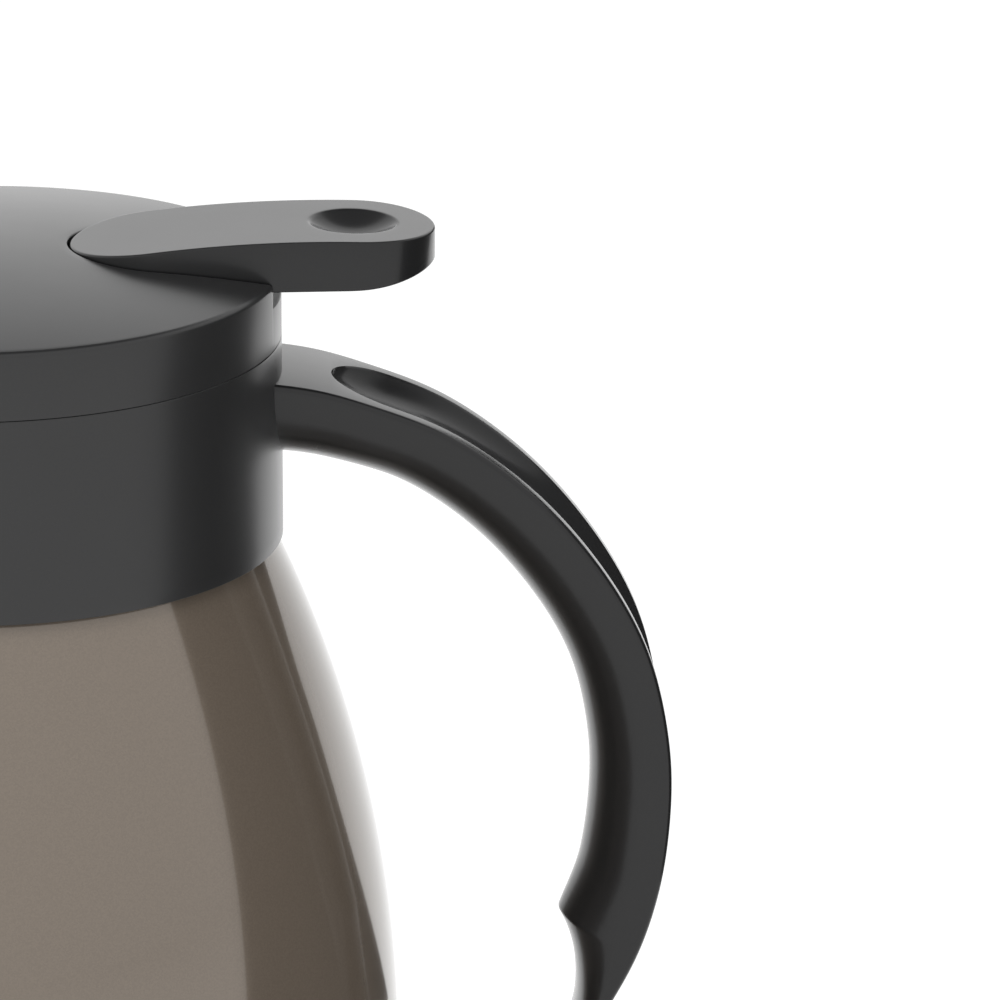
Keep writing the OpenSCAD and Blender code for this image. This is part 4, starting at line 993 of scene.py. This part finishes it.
lid = grid_piece("lid_cover_moulding", [(lid_shell, True, False), (np.stack(floor_rows), True, False)])
finished(lid, plastic, "closure", "plastic", "lid_cover")
for node in ("lid_screw_a", "lid_screw_b", "lid_screw_c"):
    dress(node, steel)


# Thumb lever and its pin. A long rocker with round ends: its inner end lies in the lid's
# recess, its outer one reaches past the rim with a round dimple for the thumb. A steel pin
# carries it, and a forked arm under it lifts the valve stem.
lever_z = lid_rim_z - 1.5 * mm
lever_tip_z = lid_rim_z + 3.8 * mm
lever_end_z = lid_rim_z + 6.2 * mm
lever_crown = 2 * mm
lever_end_t = 5.4 * mm
under_bend = 2 * mm
lever_tip_x = tip_centre_x - lever_half
lever_end_x = lever_high.x
dimple_r = 7.7 * mm
dimple_h = 2.4 * mm
chord = np.array([lever_end_x - lever_tip_x, lever_end_z - lever_tip_z])
half_chord = np.linalg.norm(chord) / 2
lever_arc = (half_chord**2 + lever_crown**2) / (2 * lever_crown)
lean = math.atan2(chord[1], chord[0])
arc_x = (lever_tip_x + lever_end_x) / 2 + (lever_arc - lever_crown) * math.sin(lean)
arc_z = (lever_tip_z + lever_end_z) / 2 - (lever_arc - lever_crown) * math.cos(lean)
dimple_ball = (dimple_r**2 + dimple_h**2) / (2 * dimple_h)
dimple_top = arc_z + math.sqrt(lever_arc**2 - (end_centre_x - arc_x) ** 2)


def lever_top(x, y):
    """Height of the lever's upper face: one long arc along it, pressed down by a ball
    where the thumb dimple is. A soft minimum rounds the dimple's edge a little."""
    plain = arc_z + np.sqrt(lever_arc**2 - (x - arc_x) ** 2)
    away = np.minimum((x - end_centre_x) ** 2 + y**2, dimple_ball**2 * 0.9)
    ball = dimple_top - dimple_h + dimple_ball - np.sqrt(dimple_ball**2 - away)
    return -soft_max(-plain, -ball, 0.12 * mm)


def lever_under(x):
    """Height of its underside: level over the recess, then rising with the square of the
    way to the thinner thumb end."""
    bend_x = end_centre_x - under_bend
    way = ((x - bend_x) / (lever_end_x - bend_x)).clip(0, 1)
    return lever_z + (lever_end_z - lever_end_t - lever_z) * way**2


def lever_line(u, half):
    """Plan of the lever as a closed line: two straight sides and two half circles."""
    straight = end_centre_x - tip_centre_x
    bend = np.pi * lever_half
    s = (u % 1.0) * 2 * (straight + bend)
    near = s < straight
    outer = (s >= straight) & (s < straight + bend)
    far = (s >= straight + bend) & (s < 2 * straight + bend)
    turn_out = (s - straight) / lever_half
    turn_in = (s - 2 * straight - bend) / lever_half
    x = np.select(
        [near, outer, far],
        [tip_centre_x + s, end_centre_x + half * np.sin(turn_out), end_centre_x - (s - straight - bend)],
        tip_centre_x - half * np.sin(turn_in),
    )
    y = np.select(
        [near, outer, far],
        [0 * s - half, -half * np.cos(turn_out), 0 * s + half],
        half * np.cos(turn_in),
    )
    return np.stack([x, y], axis=-1)


u = np.linspace(0, 1, 960, endpoint=False)
lever_rows = []
round_r = 0.35 * mm
top_rows = 64
for half in np.linspace(0, 1, top_rows) * (lever_half - round_r):
    flat = lever_line(u, half)
    lever_rows.append(np.column_stack([flat, lever_top(flat[:, 0], flat[:, 1])]))
for a in np.linspace(0, np.pi / 2, 6)[1:]:
    flat = lever_line(u, lever_half - round_r * (1 - math.sin(a)))
    z = lever_top(flat[:, 0], flat[:, 1]) - round_r * (1 - math.cos(a))
    lever_rows.append(np.column_stack([flat, z]))
for a in np.linspace(0, np.pi / 2, 6):
    flat = lever_line(u, lever_half - round_r * (1 - math.cos(a)))
    lever_rows.append(np.column_stack([flat, lever_under(flat[:, 0]) + round_r * (1 - math.sin(a))]))
for half in np.linspace(1, 0, 24)[1:] * (lever_half - round_r):
    flat = lever_line(u, half)
    lever_rows.append(np.column_stack([flat, lever_under(flat[:, 0])]))
lever_rows = np.stack(lever_rows)

lug_r = 3.8 * mm
lug_half = 6 * mm
lug_taper = 0.3 * mm
lug_top_z = lever_z + 0.5 * mm
lug_turn = np.linspace(np.pi, 2 * np.pi, 24)
lug_outline = np.vstack(
    [
        np.column_stack([pivot.x + lug_r * np.cos(lug_turn), pivot.z + lug_r * np.sin(lug_turn)]),
        [(pivot.x + lug_r - lug_taper, lug_top_z), (pivot.x - lug_r + lug_taper, lug_top_z)],
    ]
)
lug_shrink = 0.25 * mm
lug_middle = np.array([pivot.x, pivot.z])
lug_face = 0.93
lug_steps = [
    (-lug_half, 0.0),
    (-lug_half, lug_face),
    (-lug_half + lug_shrink, 1.0),
    (lug_half - lug_shrink, 1.0),
    (lug_half, lug_face),
    (lug_half, 0.0),
]
lug = np.stack(
    [
        np.column_stack([
            lug_middle[0] + (lug_outline[:, 0] - lug_middle[0]) * grow,
            0 * lug_outline[:, 0] + y,
            lug_middle[1] + (lug_outline[:, 1] - lug_middle[1]) * grow,
        ])
        for y, grow in lug_steps
    ]
)
etch_fade = 0.6 * mm
from_dimple = np.hypot(lever_rows[..., 0] - end_centre_x, lever_rows[..., 1])
lever_etched = smooth_step(dimple_r - from_dimple, 0, etch_fade)
lever_etched[top_rows:] = 0
lever = grid_piece(
    "thumb_lever_moulding",
    [(lever_rows, False, True), (lug, False, True)],
    40,
    np.concatenate([lever_etched.ravel(), np.zeros(lug[..., 0].size)]),
)
finished(lever, grip_plastic, "lever", "plastic", "thumb_lever")
dress("lever_pin", steel)


# Studio. A pale floor, an even white surround, one large soft light overhead, a dark panel
# at the right that draws the darker band on the lacquer, and a dark ceiling that deepens
# hollows and rounded edges. Only reflections see the two.
def plain_view(tree):
    """1 for a ray of the camera, of gloss or of glass, and 0 for any other ray."""
    path = tree.nodes.new("ShaderNodeLightPath").outputs
    larger = {"operation": "MAXIMUM"}
    seen = linked(tree, "ShaderNodeMath", larger, i0=path["Is Camera Ray"], i1=path["Is Glossy Ray"])
    seen = linked(tree, "ShaderNodeMath", larger, i0=seen.outputs[0], i1=path["Is Transmission Ray"])
    return seen.outputs[0]


floor_half = 6.0
floor_drop = 0.05 * mm
floor_mesh = bpy.data.meshes.new("floor")
floor_signs = ((-1, -1), (1, -1), (1, 1), (-1, 1))
floor_corners = [(x * floor_half, y * floor_half, -floor_drop) for x, y in floor_signs]
floor_mesh.from_pydata(floor_corners, [], [(0, 1, 2, 3)])
floor = bpy.data.objects.new("floor", floor_mesh)
bpy.context.scene.collection.objects.link(floor)
floor_material, tree, shader = new_material("floor_paper", (0.8, 0.8, 0.8), 1.0, Specular_IOR_Level=0.0)
floor_glow = 0.4
glow = linked(tree, "ShaderNodeMath", {"operation": "MULTIPLY"}, i0=plain_view(tree), i1=floor_glow)
shader.inputs["Emission Color"].default_value = (1, 1, 1, 1)
tree.links.new(glow.outputs[0], shader.inputs["Emission Strength"])
floor.data.materials.append(floor_material)

world = bpy.data.worlds.new("white_surround")
bpy.context.scene.world = world
world.use_nodes = True
tree = world.node_tree
background = tree.nodes["Background"]
background.inputs["Color"].default_value = (1, 1, 1, 1)
plain_level = 0.7
level = linked(tree, "ShaderNodeMapRange", Value=plain_view(tree), To_Min=plain_level)
tree.links.new(level.outputs[0], background.inputs["Strength"])

lamp_data = bpy.data.lights.new("overhead_softbox", "AREA")
lamp_data.shape = "SQUARE"
lamp_data.size = 1.4
lamp_data.energy = 12.0
lamp = bpy.data.objects.new("overhead_softbox", lamp_data)
lamp_at = Vector((-0.5, -0.7, 1.7))
lamp_aim = Vector((0, 0, 150 * mm)) - lamp_at
lamp_turn = lamp_aim.to_track_quat("-Z", "Y").to_matrix().to_4x4()
lamp.matrix_world = Matrix.Translation(lamp_at) @ lamp_turn
bpy.context.scene.collection.objects.link(lamp)
lamp.visible_glossy = False

flag_r = 300 * mm
flag_h = 290 * mm
flag_waist_z = 120 * mm
flag_z = np.linspace(0, flag_h, 60)[:, None]
flag_left = np.radians(66.7 + 26 * flag_z)
over_waist = flag_z - flag_waist_z
flag_lean = np.where(over_waist < 0, 1400 * over_waist**2, 9.3e5 * over_waist**4)
flag_right = np.radians(np.minimum(119.3 + flag_lean, 146))
across = np.linspace(0, 1, 24)[None, :]
flag_turn = flag_left + (flag_right - flag_left) * across
flag_points = np.stack(
    [flag_r * np.sin(flag_turn), -flag_r * np.cos(flag_turn), flag_z + 0 * flag_turn], axis=-1
)
flag = grid_piece("dark_panel", [(flag_points, False, False)])
dark_cloth = (0.05, 0.05, 0.05)
flag_material = new_material("panel_cloth", dark_cloth, 1.0, Specular_IOR_Level=0.0)[0]
flag.data.materials.append(flag_material)

ceiling_z = 1.6
ceiling_r = 1.3
ceiling_full_r = 0.7
ceiling_at = (0.15, 0.58, 0)
ceiling_ring = np.array([[0.0, ceiling_z], [ceiling_r, ceiling_z]])
ceiling = grid_piece("dark_ceiling", [(turned(ceiling_ring, 64) + ceiling_at, True, False)])
ceiling_material, tree, shader = new_material("ceiling_cloth", dark_cloth, 1.0, Specular_IOR_Level=0.0)
where = tree.nodes.new("ShaderNodeTexCoord")
from_middle = linked(
    tree,
    "ShaderNodeVectorMath",
    {"operation": "DISTANCE"},
    i0=where.outputs["Object"],
    i1=(*ceiling_at[:2], ceiling_z),
)
fade = linked(
    tree,
    "ShaderNodeMapRange",
    {"interpolation_type": "SMOOTHSTEP"},
    Value=from_middle.outputs["Value"],
    From_Min=ceiling_full_r,
    From_Max=ceiling_r,
    To_Min=1.0,
    To_Max=0.0,
)
tree.links.new(fade.outputs[0], shader.inputs["Alpha"])
ceiling.data.materials.append(ceiling_material)
for dark in (flag, ceiling):
    dark.visible_camera = False
    dark.visible_diffuse = False
    dark.visible_shadow = False
    dark.visible_transmission = False


# Camera. It stands in front of the carafe and a little above it, far away, and looks past
# its right side, so that the picture holds the lid, the lever and the handle.
camera_data = bpy.data.cameras.new("camera")
camera_data.sensor_width = 36
camera_data.lens = 320.2
camera_data.clip_end = 50
camera = bpy.data.objects.new("camera", camera_data)
bpy.context.scene.collection.objects.link(camera)
camera_back = 1.5
camera_up = math.radians(15.91)
pan = math.radians(3.53)
camera_tilt = math.radians(17.44)
rim_level = 222 * mm
camera_at = Vector((0, -camera_back * math.cos(camera_up), camera_back * math.sin(camera_up) + rim_level))
flat_way = Vector((math.sin(pan), math.cos(pan), 0))
forward = flat_way * math.cos(camera_tilt) - Vector((0, 0, math.sin(camera_tilt)))
rightward = Vector((math.cos(pan), -math.sin(pan), 0))
upward = rightward.cross(forward)
camera_turn = Matrix((rightward, upward, -forward)).transposed().to_4x4()
camera.matrix_world = Matrix.Translation(camera_at) @ camera_turn
bpy.context.scene.camera = camera
bpy.context.scene.view_settings.view_transform = "Standard"
